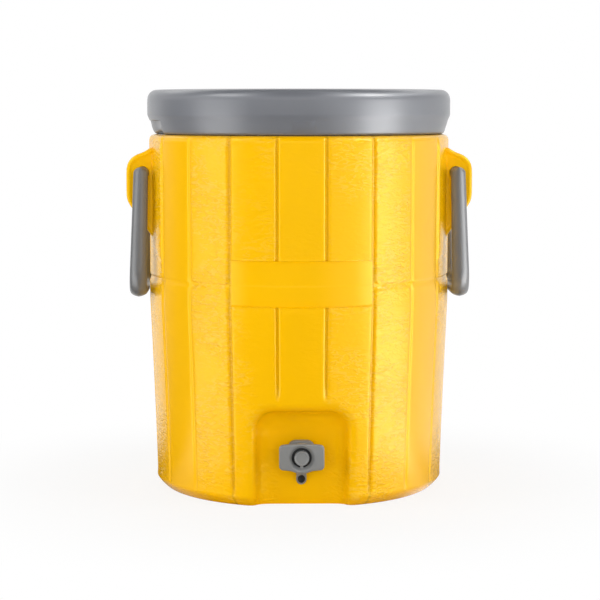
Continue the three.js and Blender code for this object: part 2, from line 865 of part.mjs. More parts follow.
function lidFoam() {
  const plug = plugRadius - lidWall - fitGap;
  const bottom = lidWall + fitGap - plugDepth;
  const flangeTop = lidFoot + beadHeight;
  const filling = turned([
    [0, bottom],
    [plug - plugChamfer / 2, bottom],
    [plug, bottom + plugChamfer / 2],
    [plug, flangeTop],
    [lidRadius + overrun, flangeTop],
    [lidRadius + overrun, lidHeight + overrun],
    [0, lidHeight + overrun],
  ]);
  const column = turned([
    [0, -plugDepth - overrun],
    [plug + fitGap, -plugDepth - overrun],
    [plug + fitGap, flangeTop],
    [0, flangeTop],
  ]);
  return lidBody(lidWall + fitGap).add(column).intersect(filling).subtract(lidRecesses(lidWall + fitGap));
}

function lidGasket() {
  const inside = grooveRadius + fitGap;
  const outside = linerInside - fitGap;
  const low = -gasketDrop - gasketHeight + fitGap;
  const high = -gasketDrop - fitGap;
  const middle = (low + high) / 2;
  return turned([
    [inside, low],
    [plugRadius, low],
    [outside, middle],
    [plugRadius, high],
    [inside, high],
    [inside, low],
  ]);
}

// Assembly
const dispenser = new THREE.Group();

const barrelGroup = new THREE.Group();
barrelGroup.add(
  piece('outer_shell', outerShell(), yellow),
  piece('insulation_foam', insulationFoam(), foamCream),
  piece('inner_liner', innerLiner(), white),
  piece('foam_fill_plug', basePlug(fillHoleRadius, fillPlace), yellow),
  piece('foam_vent_plug', basePlug(ventHoleRadius, ventPlace), yellow),
);

const bailRight = piece('bail_right', bail(), grey);
bailRight.position.set(pivotX, 0, pivotZ);
const bailLeft = piece('bail_left', bail(), grey);
bailLeft.position.set(-pivotX, 0, pivotZ);
bailLeft.rotation.z = Math.PI;

const tapGroup = new THREE.Group();
tapGroup.position.set(0, -alcoveWall, tapHeight);
tapGroup.add(
  piece('tap_body', tapBody(), tapGrey),
  piece('tap_bonnet', tapBonnet(), tapGrey),
  piece('push_button', pushButton(), tapGrey),
  piece('plunger_stem', plungerStem(), white),
  piece('valve_seal', valveSeal(), rubber),
  piece('stem_o_ring', stemRing(), rubber),
  piece('spring_washer', springWasher(), steel),
  piece('return_spring', returnSpring(), steel),
  piece('outer_gasket', shankGasket(collarBack + fitGap, -fitGap), rubber),
  piece('inner_gasket', shankGasket(linerFace + fitGap, nutFrom - fitGap), rubber),
  piece('shank_nut', shankNut(), white),
);

const lidGroup = new THREE.Group();
lidGroup.position.z = bodyHeight;
lidGroup.rotation.z = THREE.MathUtils.degToRad(lidTurnDegrees);
lidGroup.add(
  piece('lid_shell', lidShell(), grey),
  piece('lid_foam', lidFoam(), foamCream),
  piece('lid_liner', lidLiner(), white),
  piece('lid_gasket', lidGasket(), silicone),
);

dispenser.add(barrelGroup, bailRight, bailLeft, tapGroup, lidGroup);

export default dispenser;
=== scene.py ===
"""Insulated beverage dispenser: the detailed shapes, finishes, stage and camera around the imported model.

Laid out as an add-on: property groups hold the sizes and colours, one operator makes each piece or group
of like pieces, a panel lists them, and main() calls the operators in order. Lengths are in metres, and in
millimetres where they come in tables and outlines.
"""

import math
from contextlib import contextmanager

import bmesh
import bpy
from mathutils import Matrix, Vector


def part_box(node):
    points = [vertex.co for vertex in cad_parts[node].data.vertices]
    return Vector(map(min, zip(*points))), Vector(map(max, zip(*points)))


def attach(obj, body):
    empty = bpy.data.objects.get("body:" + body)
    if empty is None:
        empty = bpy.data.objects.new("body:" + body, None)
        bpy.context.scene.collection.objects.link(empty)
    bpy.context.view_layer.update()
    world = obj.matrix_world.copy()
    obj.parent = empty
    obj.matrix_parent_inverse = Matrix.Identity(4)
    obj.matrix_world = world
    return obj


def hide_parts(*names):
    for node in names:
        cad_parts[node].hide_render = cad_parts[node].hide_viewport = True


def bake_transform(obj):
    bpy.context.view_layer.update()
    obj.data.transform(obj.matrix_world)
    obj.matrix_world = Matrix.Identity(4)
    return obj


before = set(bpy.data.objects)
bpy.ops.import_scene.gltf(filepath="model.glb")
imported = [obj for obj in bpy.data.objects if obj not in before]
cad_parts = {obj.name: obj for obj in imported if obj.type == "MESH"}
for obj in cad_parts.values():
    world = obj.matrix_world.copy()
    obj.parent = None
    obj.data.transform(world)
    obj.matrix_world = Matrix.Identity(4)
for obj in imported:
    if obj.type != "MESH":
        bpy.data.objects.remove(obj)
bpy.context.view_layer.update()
shell_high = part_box("outer_shell")[1]

bl_info = {
    "name": "Beverage dispenser looks",
    "version": (1, 0, 0),
    "blender": (4, 5, 0),
    "location": "3D View > Sidebar > Dispenser",
    "description": "Builds the visible pieces of an insulated beverage dispenser around its packed model",
    "category": "Mesh",
}

MM = 0.001
STAVES = 20
STAVE_ANGLE = 360 / STAVES
# Columns of one stave, in degrees from its middle, closer together at its grooves
HALF_COLUMNS = (9, 8.72, 8.41, 8.09, 7.68, 7.1, 6.4, 5.5, 4.2, 2.4)
COLUMNS = tuple(-angle for angle in HALF_COLUMNS) + (0,) + HALF_COLUMNS[::-1]


def length(name, description, default):
    return bpy.props.FloatProperty(name=name, description=description, default=default, min=0, unit="LENGTH")


def colour(name, description, default):
    return bpy.props.FloatVectorProperty(
        name=name, description=description, default=default, size=3, min=0, max=1, subtype="COLOR"
    )


class DispenserBarrel(bpy.types.PropertyGroup):
    height: length("Height", "Top of the barrel above the base", shell_high.z)
    radius: length("Radius", "Radius of the upper staves", shell_high.y - 0.5 * MM)
    swell: length("Swell", "How far the band under the waist stands out", 0.2 * MM)
    foot_inset: length("Foot inset", "How much narrower the foot is", 7.5 * MM)
    foot_height: length("Foot height", "Height of the chamfered foot", 11 * MM)
    base_inset: length("Base inset", "How far the foot draws in to the base", 10.5 * MM)
    waist: length("Waist", "Height of the waist groove", 245 * MM)
    bulge: length("Bulge", "Height at which the taper to the foot starts", 217 * MM)
    top_rounding: length("Top rounding", "Radius of the top edge", 7 * MM)
    wall: length("Wall", "Thickness of the moulded skin", 3.5 * MM)
    flatness: bpy.props.FloatProperty(
        name="Flatness", description="How flat a stave is, from round to a facet", default=0.3, min=0, max=1
    )
    groove: length("Groove", "Depth of the deep grooves between the front staves", 2.5 * MM)
    line: length("Line", "Depth of the fine grooves between the side staves", 1.3 * MM)
    plate_height: length("Plate height", "Height of the bare name plate", 50.9 * MM)
    plate_depth: length("Plate depth", "How far the name plate is sunk", 2.1 * MM)
    plate_rise: length("Plate rise", "Middle of the name plate above the waist", 2.9 * MM)


class DispenserAlcove(bpy.types.PropertyGroup):
    half_width: length("Half width", "Half the width of the alcove at the barrel's face", 62 * MM)
    top: length("Top", "Height at which the alcove's lip starts", 118.5 * MM)
    corner: length("Corner", "Radius of the alcove's upper corners", 30 * MM)
    lip: length("Lip", "Reach of the rounded lip", 8.5 * MM)
    draft: length("Draft", "How far the walls draw in towards the back", 8.5 * MM)
    back: length("Back", "Distance of the back wall in front of the barrel's middle", 135 * MM)
    side_fillet: length("Side fillet", "Reach of the bend between the side walls and the back", 15 * MM)
    top_fillet: length("Top fillet", "Reach of the bend between the ceiling and the back", 22 * MM)


class DispenserFinish(bpy.types.PropertyGroup):
    yellow: colour("Yellow", "Barrel and ears", (0.96, 0.508, 0.0003))
    lid_grey: colour("Lid grey", "Lid", (0.162, 0.169, 0.187))
    bail_grey: colour("Bail grey", "Bails", (0.15, 0.153, 0.158))
    tap_grey: colour("Tap grey", "Tap", (0.215, 0.22, 0.219))
    white: colour("White", "Liner and the lid's underside", (0.8, 0.8, 0.77))


class DispenserStage(bpy.types.PropertyGroup):
    focal_length: bpy.props.FloatProperty(
        name="Focal length", description="Lens of the camera", default=112.8, min=1, unit="CAMERA"
    )
    distance: length("Distance", "Camera from the dispenser's axis", 2.19)
    eye: length("Eye", "Camera above the floor", 0.438)
    tilt: bpy.props.FloatProperty(
        name="Tilt", description="Camera below the horizon", default=math.radians(5.85), subtype="ANGLE"
    )
    turn: bpy.props.FloatProperty(
        name="Turn", description="Camera round the dispenser", default=math.radians(-1.2), subtype="ANGLE"
    )


# ---- working with meshes


def object_mode():
    if bpy.context.object and bpy.context.object.mode != "OBJECT":
        bpy.ops.object.mode_set(mode="OBJECT")


def deselect():
    """Leave edit mode with no object selected, before an operator makes a new one"""
    object_mode()
    bpy.ops.object.select_all(action="DESELECT")


def named(name):
    """The object that an operator has just made, with its name"""
    obj = bpy.context.object
    obj.name = obj.data.name = name
    return obj


def only(*objects):
    """Select just these objects; the first is the active one"""
    deselect()
    for obj in objects:
        obj.select_set(True)
    bpy.context.view_layer.objects.active = objects[0]


@contextmanager
def editing(obj, mode="VERT", action="DESELECT"):
    """Edit mode on one mesh, with nothing selected, or with all of it by the action SELECT"""
    only(obj)
    bpy.ops.object.mode_set(mode="EDIT")
    bpy.ops.mesh.select_mode(type=mode)
    bpy.ops.mesh.select_all(action=action)
    yield obj
    bpy.ops.object.mode_set(mode="OBJECT")


def pick_points(obj, test):
    """Select the points whose place passes the test"""
    bm = bmesh.from_edit_mesh(obj.data)
    for vert in bm.verts:
        vert.select = test(vert.co)
    bm.select_flush_mode()
    bmesh.update_edit_mesh(obj.data, loop_triangles=False, destructive=False)


def pick(obj, kind, test):
    """Select the edges or the faces that pass the test"""
    bm = bmesh.from_edit_mesh(obj.data)
    for part in getattr(bm, kind):
        part.select_set(test(part))
    bmesh.update_edit_mesh(obj.data, loop_triangles=False, destructive=False)


def all_near(points, test):
    """Whether all points of an edge or a face pass the test"""
    return all(test(vert.co) for vert in points.verts)


def clean(obj, distance=0.00001):
    """Merge doubles and point the faces outwards"""
    with editing(obj, action="SELECT"):
        bpy.ops.mesh.remove_doubles(threshold=distance)
        bpy.ops.mesh.normals_make_consistent(inside=False)


def smooth(obj, degrees):
    only(obj)
    bpy.ops.object.shade_smooth_by_angle(angle=math.radians(degrees))


def ring_circle(name, sides, radius, z):
    """A new mesh that starts as one circle"""
    deselect()
    bpy.ops.mesh.primitive_circle_add(vertices=sides, radius=radius, location=(0, 0, 0))
    obj = named(name)
    with editing(obj, action="SELECT"):
        bpy.ops.transform.translate(value=(0, 0, z))
    return obj


def close_to_point():
    """Close the selected rim with faces that meet in its middle"""
    bpy.ops.mesh.extrude_edges_move()
    bpy.ops.mesh.merge(type="CENTER")


def turned(name, profile, sides):
    """Extrude a circle along a profile of (radius, height) pairs, and close both ends"""
    (radius, z), *rest = profile
    obj = ring_circle(name, sides, radius, z)
    with editing(obj, "EDGE", "SELECT"):
        close_to_point()
        pick(obj, "edges", lambda edge: edge.is_boundary)
        for next_radius, next_z in rest:
            bpy.ops.mesh.extrude_edges_move(TRANSFORM_OT_translate={"value": (0, 0, next_z - z)})
            share = next_radius / radius
            bpy.ops.transform.resize(value=(share, share, 1), center_override=(0, 0, 0))
            radius, z = next_radius, next_z
        close_to_point()
    clean(obj, 0.000005)
    return obj


def lay_along_y(obj, height):
    """Turn a piece made along Z so that its top points to the front, with its axis at a height"""
    only(obj)
    obj.rotation_euler = (math.radians(90), 0, 0)
    obj.location = (0, 0, height)
    bpy.ops.object.transform_apply(location=True, rotation=True, scale=True)
    return obj


def place_key(co):
    return round(co[0], 6), round(co[1], 6), round(co[2], 6)


def drawn_sections(name, sections):
    """Extrude the first section's outline from section to section, with a face on each end"""
    deselect()
    bpy.ops.mesh.primitive_circle_add(vertices=len(sections[0]), radius=1)
    obj = named(name)
    for vert, place in zip(obj.data.vertices, sections[0]):
        vert.co = place
    with editing(obj, "EDGE", "SELECT"):
        bpy.ops.mesh.edge_face_add()
        for before, after in zip(sections, sections[1:]):
            known = set(map(place_key, before))
            pick(obj, "edges", lambda edge: all_near(edge, lambda co: place_key(co) in known))
            extrude_to(obj, before, after)
        bpy.ops.mesh.edge_face_add()
    clean(obj, 0.000002)
    return obj


def extrude_to(obj, before, after):
    """Extrude the selected edges, each new point going from its old place to its new one"""
    moves = dict(zip(map(place_key, before), after))
    bpy.ops.mesh.extrude_edges_move()
    bm = bmesh.from_edit_mesh(obj.data)
    for vert in bm.verts:
        if vert.select:
            vert.co = moves[place_key(vert.co)]
    bmesh.update_edit_mesh(obj.data)


def combine(obj, others, operation):
    """Join others to a piece, or cut them from it"""
    for other in others:
        modifier = obj.modifiers.new(operation.title(), "BOOLEAN")
        modifier.operation = operation
        modifier.solver = "EXACT"
        modifier.object = other
        only(obj)
        bpy.ops.object.modifier_apply(modifier=modifier.name)
        bpy.data.objects.remove(other)


def rounded_box(name, low, high, radius, segments):
    """A box between two corners with every edge rounded"""
    deselect()
    low, high = Vector(low), Vector(high)
    bpy.ops.mesh.primitive_cube_add(size=1, location=(low + high) / 2)
    obj = named(name)
    obj.scale = high - low
    bpy.ops.object.transform_apply(location=True, rotation=True, scale=True)
    with editing(obj, "EDGE", "SELECT"):
        bpy.ops.mesh.bevel(offset=radius, segments=segments, affect="EDGES")
    return obj


def arc(middle, middle_z, radius, start, end, steps):
    """Points of a profile or an outline on an arc, by angles in degrees from the outward direction"""
    turns = [math.radians(start + (end - start) * step / steps) for step in range(steps + 1)]
    return [(middle + radius * math.cos(turn), middle_z + radius * math.sin(turn)) for turn in turns]


def turn_about_z(angle):
    """Turn what is selected round the upright axis"""
    bpy.ops.transform.rotate(value=angle, orient_axis="Z", center_override=(0, 0, 0))


def between(low, high, share):
    return low + (high - low) * share


def eased(share):
    """0 to 1 with a soft start and a soft end"""
    share = min(1.0, max(0.0, share))
    return share * share * (3 - 2 * share)


def azimuth(co):
    """Degrees round the barrel from the front, towards +X"""
    return math.degrees(math.atan2(co.x, -co.y))


# ---- the barrel

# Rows of the barrel above its foot, in millimetres, closer together at the plate and the waist
ROWS = (
    13, 17, 24, 32, 42, 54, 66, 78, 90, 100, 110, 120, 130, 140, 152, 166, 180, 194, 208, 216, 219.6, 221.1,
    221.9, 222.5, 223.2, 223.9, 225.2, 228, 232, 236, 238.6, 240.5, 242, 243.1, 244.1, 245, 245.9, 246.9,
    248, 249.5, 251.6, 254.6, 259, 264, 267.5, 270, 271.6, 272.4, 273.1, 273.8, 275.2, 278, 282, 286, 290,
    294, 302, 312, 324, 336, 348, 360, 370, 375, 380, 384, 388, 392, 396, 399,
)
# Depth of a groove, as a share, by the distance in millimetres from its middle
GROOVE_SHAPE = ((0, 1.0), (0.85, 0.95), (1.8, 0.52), (2.75, 0.12), (4.0, 0.0))
# The name plate's ends, and the angle within which the grooves are deep, in degrees from the front
PLATE_ANGLE = 27
DEEP_ANGLE = 36
# The raised pads beside the ears: height, ends in degrees from the side, lower and upper edge in millimetres
PAD_RISE = 1.2 * MM
PAD_ENDS = (8, 27.2)
PAD_BOTTOM, PAD_TOP = 267, 400
# Height at which the two grooves above the alcove end
GROOVE_FOOT = 119 * MM
# Points of the barrel are pressed in by whole steps of this depth
PRESS_STEP = 0.04 * MM
RIM_INSIDE, SEAT_INSIDE = 0.1634, 0.157
# The opening of the sheet in which the alcove is drawn, and where its edge starts to bend
WINDOW_ANGLE = 25.1
WINDOW_TOP = 140 * MM
STRAIGHT_SIDE = 78 * MM
STRAIGHT_TOP_ANGLE = 10.9


def barrel_radius(barrel, z):
    """Radius of the barrel's outside at a height, without its grooves"""
    if z >= barrel.waist:
        return barrel.radius
    foot_radius = barrel.radius - barrel.foot_inset
    if z < barrel.foot_height:
        lift = 1 - z / barrel.foot_height
        return foot_radius - barrel.base_inset * (1 - max(0.0, 1 - lift ** 1.15) ** (1 / 1.15))
    share = (z - barrel.foot_height) / (barrel.bulge - barrel.foot_height)
    return foot_radius + (barrel.foot_inset + barrel.swell) * min(1, share) ** 1.2


def barrel_profile(barrel):
    """The barrel's outside from the base up over its top edge to the seat inside, as (radius, height)"""
    heights = [barrel.foot_height * (1 - math.cos(math.radians(15 * step))) for step in range(6)]
    heights += [barrel.foot_height] + [row * MM for row in ROWS]
    points = [(barrel_radius(barrel, z), z) for z in heights]
    rounding = barrel.top_rounding
    points += arc(barrel.radius - rounding, barrel.height - rounding, rounding, 0, 90, 6)
    seat = barrel.height - 2.8 * MM
    points += [(RIM_INSIDE, barrel.height), (RIM_INSIDE, seat), (SEAT_INSIDE, seat)]
    return points


def groove_share(distance):
    """How deep a groove is at a distance from its middle"""
    distance /= MM
    for (near, deep), (far, shallow) in zip(GROOVE_SHAPE, GROOVE_SHAPE[1:]):
        if distance < far:
            return between(deep, shallow, (distance - near) / (far - near))
    return 0.0


def panel_share(angle, z):
    """1 on the raised pads before and behind the ears, 0 off them, and between on their sloping edges"""
    across = abs(90 - abs(angle))
    if not PAD_ENDS[0] <= across <= PAD_ENDS[1]:
        return 0.0
    top = (PAD_TOP - (26 - across) * 1.55) * MM
    bottom = (PAD_BOTTOM + max(0, 23.5 - across) * 2.2) * MM
    inside = min((26.9 - across) * 3 * MM, top - z, z - bottom)
    return eased(inside / (3 * MM))


def press_depth(barrel, co):
    """How far a point of the barrel's outside is pressed in by facets, grooves, plate and pads"""
    angle, z = azimuth(co), co.z
    radius = math.hypot(co.x, co.y)
    if radius < barrel_radius(barrel, z) - 2 * MM or z > barrel.height - 0.9 * MM:
        return 0.0
    stave = round(angle / STAVE_ANGLE)
    from_middle = abs(angle - stave * STAVE_ANGLE)
    half = STAVE_ANGLE / 2
    end_fade = eased((z - 11 * MM) / (7 * MM)) * eased((barrel.height - z - 0.4 * MM) / (4 * MM))
    sag = 1 - math.cos(math.radians(half)) / math.cos(math.radians(from_middle))
    depth = barrel.flatness * radius * sag * end_fade

    # Grooves between the staves meet the waist with rounded corners
    middle = abs(stave) * STAVE_ANGLE
    groove_angle = abs(middle + (half if abs(angle) > middle else -half))
    is_deep = groove_angle < DEEP_ANGLE
    upright = barrel.groove if is_deep else barrel.line
    if groove_angle == half:
        upright *= eased((z - GROOVE_FOOT) / (9 * MM))
    if not is_deep and z <= barrel.waist and groove_angle <= 50:
        upright *= eased((barrel.waist - z - 4 * MM) / (3 * MM))
    upright *= end_fade
    level = waist_depth(barrel, abs(angle))
    corner = 6 * MM
    beside = math.radians(half - from_middle) * radius
    away = abs(z - barrel.waist)
    if z < barrel.waist:
        away *= 0.62
    from_edge = barrel.plate_height / 2 - abs(z - barrel.waist - barrel.plate_rise)
    if abs(angle) < PLATE_ANGLE and from_edge > 0:
        round_off = 3 * MM
        from_end = math.radians(PLATE_ANGLE - abs(angle)) * radius
        if from_end < round_off and from_edge < round_off:
            from_edge = round_off - math.hypot(round_off - from_end, round_off - from_edge)
        plate = barrel.plate_depth * eased(from_edge / (1.3 * MM))
        return max(plate, upright * groove_share(from_end))
    if beside < corner and away < corner:
        bend = max(0, corner - math.hypot(corner - beside, corner - away))
        near, far = (corner - beside) ** 2 + 1e-12, (corner - away) ** 2 + 1e-12
        cut = (upright * near + level * far) / (near + far) * groove_share(bend)
    else:
        cut = max(upright * groove_share(beside), level * groove_share(away))
    return depth + cut - PAD_RISE * panel_share(angle, z)


def waist_depth(barrel, angle):
    """Depth of the waist groove round the barrel: strong beside the plate, faint further on"""
    if angle < PLATE_ANGLE:
        return 0.0
    if angle < 45:
        return barrel.groove * 0.75
    if angle < 62:
        return barrel.line * 0.5
    return barrel.line * 1.2


def stave_sheet(barrel):
    """One stave as an open sheet: its profile is drawn from a point, then spun column by column"""
    profile = barrel_profile(barrel)
    start = math.radians(COLUMNS[0])
    outward = Vector((math.sin(start), -math.cos(start), 0))
    deselect()
    bpy.ops.mesh.primitive_plane_add(size=1 * MM, location=(0, 0, 0))
    obj = named("shell")
    with editing(obj, action="SELECT"):
        bpy.ops.mesh.merge(type="CENTER")
        bpy.ops.transform.translate(value=outward * profile[0][0] + Vector((0, 0, profile[0][1])))
        for (radius, z), (next_radius, next_z) in zip(profile, profile[1:]):
            move = outward * (next_radius - radius) + Vector((0, 0, next_z - z))
            bpy.ops.mesh.extrude_vertices_move(TRANSFORM_OT_translate={"value": move})
        bpy.ops.mesh.select_all(action="SELECT")
        for near, far in zip(COLUMNS, COLUMNS[1:]):
            bpy.ops.mesh.spin(steps=1, angle=math.radians(far - near), center=(0, 0, 0), axis=(0, 0, 1))
    return obj


def barrel_sheet(barrel):
    """All staves side by side, with a window left open at the front for the alcove"""
    obj = stave_sheet(barrel)
    with editing(obj, action="SELECT"):
        for _ in range(STAVES - 1):
            bpy.ops.mesh.duplicate()
            turn_about_z(math.radians(STAVE_ANGLE))
    clean(obj)
    with editing(obj, "FACE"):
        pick(obj, "faces", lambda face: face.calc_center_median().z < WINDOW_TOP
             and abs(azimuth(face.calc_center_median())) < WINDOW_ANGLE)
        bpy.ops.mesh.delete(type="FACE")
    return obj


def corner_way(start, barrel):
    """How far round a corner a point of the window's edge is: 0 at its side, 1 at its top"""
    along_side = min(start.z, WINDOW_TOP) - STRAIGHT_SIDE
    along_top = math.radians(WINDOW_ANGLE - abs(azimuth(start))) * barrel.radius
    whole = WINDOW_TOP - STRAIGHT_SIDE + math.radians(WINDOW_ANGLE - STRAIGHT_TOP_ANGLE) * barrel.radius
    return (along_side + along_top) / whole


def alcove_place(barrel, alcove, start, shrink):
    """Where a point of the window's edge comes on a rounded outline, shrunk towards the alcove's back"""
    side = 1 if start.x > 0 else -1
    width = alcove.half_width - shrink[0]
    top = alcove.top - shrink[1]
    corner = alcove.corner - shrink[2]
    if start.z <= STRAIGHT_SIDE:
        return Vector((side * width, 0, start.z))
    if abs(azimuth(start)) <= STRAIGHT_TOP_ANGLE:
        return Vector((start.x * width / alcove.half_width, 0, top))
    # The corner: points keep their share of the way from the straight side to the straight top
    upright = top - corner - STRAIGHT_SIDE
    bend = corner * math.pi / 2
    end_x = math.sin(math.radians(STRAIGHT_TOP_ANGLE)) * barrel.radius * width / alcove.half_width
    level = max(0.0, width - corner - end_x)
    way = corner_way(start, barrel) * (upright + bend + level)
    if way < upright:
        return Vector((side * width, 0, STRAIGHT_SIDE + way))
    if way < upright + bend:
        turn = (way - upright) / corner
        x = width - corner + corner * math.cos(turn)
        return Vector((side * x, 0, top - corner + corner * math.sin(turn)))
    return Vector((side * (width - corner - (way - upright - bend)), 0, top))


def bent(start, corner, end, share):
    """A point on the bend from start to end that is pulled towards a corner"""
    return start.lerp(corner, share).lerp(corner.lerp(end, share), share)


def add_alcove(obj, barrel, alcove):
    """Extrude the window's edge over a rounded lip, along the walls and round a fillet to the flat back"""
    with editing(obj, "EDGE"):
        pick(obj, "edges", lambda edge: edge.is_boundary and all_near(
            edge, lambda co: co.z <= WINDOW_TOP + MM / 10 and abs(azimuth(co)) < WINDOW_ANGLE + 0.1))
        starts = [vert.co.copy() for vert in bmesh.from_edit_mesh(obj.data).verts if vert.select]

        def surface(place):
            radius = barrel_radius(barrel, place.z)
            return Vector((place.x, -math.sqrt(radius ** 2 - place.x ** 2), place.z))

        def rim(start, shrink):
            return surface(alcove_place(barrel, alcove, start, (shrink, shrink, shrink)))

        # Each point's way in: the lip's start and sharp corner, the wall's foot and the end of its fillet
        ways = []
        for start in starts:
            inward = alcove.lip + alcove.draft
            fillet = alcove.top_fillet - alcove.side_fillet
            reach = inward + alcove.side_fillet + fillet * corner_share(start, barrel)
            foot, end = [
                alcove_place(barrel, alcove, start, (shrink, shrink, shrink * 0.6))
                for shrink in (inward, reach)
            ]
            foot.y = end.y = -alcove.back
            ways.append((rim(start, 0), rim(start, alcove.lip), foot, end))
        stages = [starts]
        for share in (0.35, 0.7, 0.9, 1.0):
            stages.append([surface(start.lerp(rim(start, 0), share)) for start in starts])
        for share in (0.12, 0.25, 0.38, 0.5, 0.62, 0.75, 0.88, 1.0):
            stages.append([
                bent(near, corner, corner.lerp(foot, 0.42), share) for near, corner, foot, _ in ways
            ])
        for share in (0, 0.14, 0.28, 0.42, 0.56, 0.7, 0.85, 1.0):
            stages.append([bent(corner.lerp(foot, 0.46), foot, end, share) for _, corner, foot, end in ways])
        for before, after in zip(stages, stages[1:]):
            extrude_to(obj, before, after)
        pick(obj, "edges", lambda edge: edge.is_boundary and all_near(
            edge, lambda co: abs(co.y + alcove.back) < MM / 100 and abs(co.x) < alcove.half_width))
        bpy.ops.mesh.edge_face_add()


def corner_share(start, barrel):
    """0 on the alcove's upright sides, 1 under its ceiling, easing between them round the corner"""
    if start.z <= STRAIGHT_SIDE:
        return 0.0
    if abs(azimuth(start)) <= STRAIGHT_TOP_ANGLE:
        return 1.0
    return eased((corner_way(start, barrel) - 0.25) / 0.6)


def press_surface(obj, barrel):
    """Press grooves, facets, plate and pads into the outside: one scaling for all points of the same depth"""
    groups = {}
    for vert in obj.data.vertices:
        depth = round(press_depth(barrel, vert.co) / PRESS_STEP)
        if depth:
            groups.setdefault(depth, set()).add(vert.index)
    with editing(obj):
        for depth, chosen in sorted(groups.items()):
            bm = bmesh.from_edit_mesh(obj.data)
            bm.verts.ensure_lookup_table()
            for vert in bm.verts:
                vert.select = vert.index in chosen
            bm.select_flush_mode()
            bmesh.update_edit_mesh(obj.data, loop_triangles=False, destructive=False)
            share = 1 - depth * PRESS_STEP / barrel.radius
            bpy.ops.transform.resize(value=(share, share, 1), center_override=(0, 0, 0))


def close_base(obj, alcove):
    """Fill the base and raise a shallow recess in it behind the alcove"""
    behind = -alcove.back + 9 * MM
    with editing(obj, "EDGE"):
        pick(obj, "edges", lambda edge: edge.is_boundary and all_near(edge, lambda co: co.z < MM / 100))
        bpy.ops.mesh.edge_face_add()
        bpy.ops.mesh.bisect(plane_co=(0, behind, 0), plane_no=(0, 1, 0))
        bpy.ops.mesh.select_mode(type="FACE")
        pick(obj, "faces", lambda face: face.calc_center_median().y > behind
             and all_near(face, lambda co: co.z < MM / 100))
        bpy.ops.mesh.inset(thickness=9 * MM)
        bpy.ops.mesh.extrude_region_move(TRANSFORM_OT_translate={"value": (0, 0, 5 * MM)})


# An ear's outline as (x, z) and the insets of its rounded ends as (y, inset), in millimetres
EAR_OUTLINE = (
    (160, 394), (170, 392.2), (173.4, 390), (176.8, 388), (180, 386.6), (183.5, 385.4), (187.4, 383.5),
    (191, 380.8), (193.7, 377.6), (195.6, 373.8), (196.7, 369), (197, 363), (197, 352), (197, 343),
    (196.9, 338.5), (196.3, 334.5), (195.2, 331), (193, 327), (188, 319.6), (181, 309.4), (175, 300.9),
    (170, 294), (160, 279),
)
EAR_END = (
    (-47.4, 6.5), (-47.5, 5.4), (-47.9, 4.6), (-48, 3.7), (-47.8, 2), (-47.2, 0.9), (-46.3, 0.2), (-45.2, 0),
)


def ear(side):
    """One of the two blocks that carry the bails' pivots"""
    sections = []
    far_end = tuple((-y, inset) for y, inset in reversed(EAR_END))
    last = len(EAR_OUTLINE) - 1
    for y, inset in EAR_END + ((-20, 0), (0, 0), (20, 0)) + far_end:
        ring = []
        for index, (x, z) in enumerate(EAR_OUTLINE):
            (x0, z0), (x1, z1) = EAR_OUTLINE[max(0, index - 1)], EAR_OUTLINE[min(last, index + 1)]
            along = Vector((x1 - x0, z1 - z0)).normalized()
            if index in (0, last):
                along = Vector((1 if index == 0 else -1, 0))
            ring.append(Vector((side * (x + along.y * inset), y, z - along.x * inset)) * MM)
        sections.append(ring)
    return drawn_sections("ear", sections)


def rod(name, radius, start, end, sides=48):
    """A rod between two points in millimetres, along Y or Z, for holes and pins"""
    start, end = (Vector([value * MM for value in point]) for point in (start, end))
    way = end - start
    deselect()
    bpy.ops.mesh.primitive_cylinder_add(
        vertices=sides, radius=radius * MM, depth=way.length, location=(start + end) / 2,
        rotation=way.to_track_quat("Z", "Y").to_euler()
    )
    obj = named(name)
    bpy.ops.object.transform_apply(location=True, rotation=True, scale=True)
    return obj


def joined(name, objects):
    only(*objects)
    bpy.ops.object.join()
    return named(name)


def hollow_space(barrel, alcove):
    """The space inside the barrel's skin, drawn back round the alcove and open through the seat at the top"""
    wall = barrel.wall
    floor = 5 * MM + wall
    inside = [(barrel_radius(barrel, floor) - 1.2 * wall, floor)]
    for z in (14, 30, 60, 90, 120, 150, 180, 213, 246, 300, 350, 399):
        inside.append((min(barrel.radius, barrel_radius(barrel, z * MM)) - 1.2 * wall, z * MM))
    inside += [(SEAT_INSIDE, 401 * MM), (SEAT_INSIDE, barrel.height + 5 * MM)]
    space = turned("space", inside, 120)
    width, top, back = alcove.half_width + wall, alcove.top + wall, -alcove.back + wall
    combine(space, [rounded_box("block", (-width, -0.3, -0.1), (width, back, top), 9 * MM, 3)], "DIFFERENCE")
    return space


def make_shell(barrel, alcove):
    """The barrel as one hollow solid with its ears and all its holes"""
    obj = barrel_sheet(barrel)
    add_alcove(obj, barrel, alcove)
    press_surface(obj, barrel)
    close_base(obj, alcove)
    with editing(obj, "EDGE"):
        pick(obj, "edges", lambda edge: edge.is_boundary)
        close_to_point()
        bpy.ops.mesh.select_all(action="SELECT")
        bpy.ops.mesh.normals_make_consistent(inside=False)
    combine(obj, [ear(-1), ear(1)], "UNION")
    combine(obj, [hollow_space(barrel, alcove)], "DIFFERENCE")
    holes = [bail_pin("hole", 7.4, side, end, 33, 60) for side in (-1, 1) for end in (-1, 1)]
    # The tap's hole, and those of the filling plug and the vent plug in the base
    holes.append(rod("hole", 11.3, (0, -145, TAP_HEIGHT), (0, -125, TAP_HEIGHT)))
    holes += [rod("hole", radius, (x, 53, -1), (x, 53, 12)) for radius, x in ((12, -53), (7, 53))]
    combine(obj, [joined("holes", holes)], "DIFFERENCE")
    smooth(obj, 38)
    return obj


# ---- lid

LID_BASE = 407.4
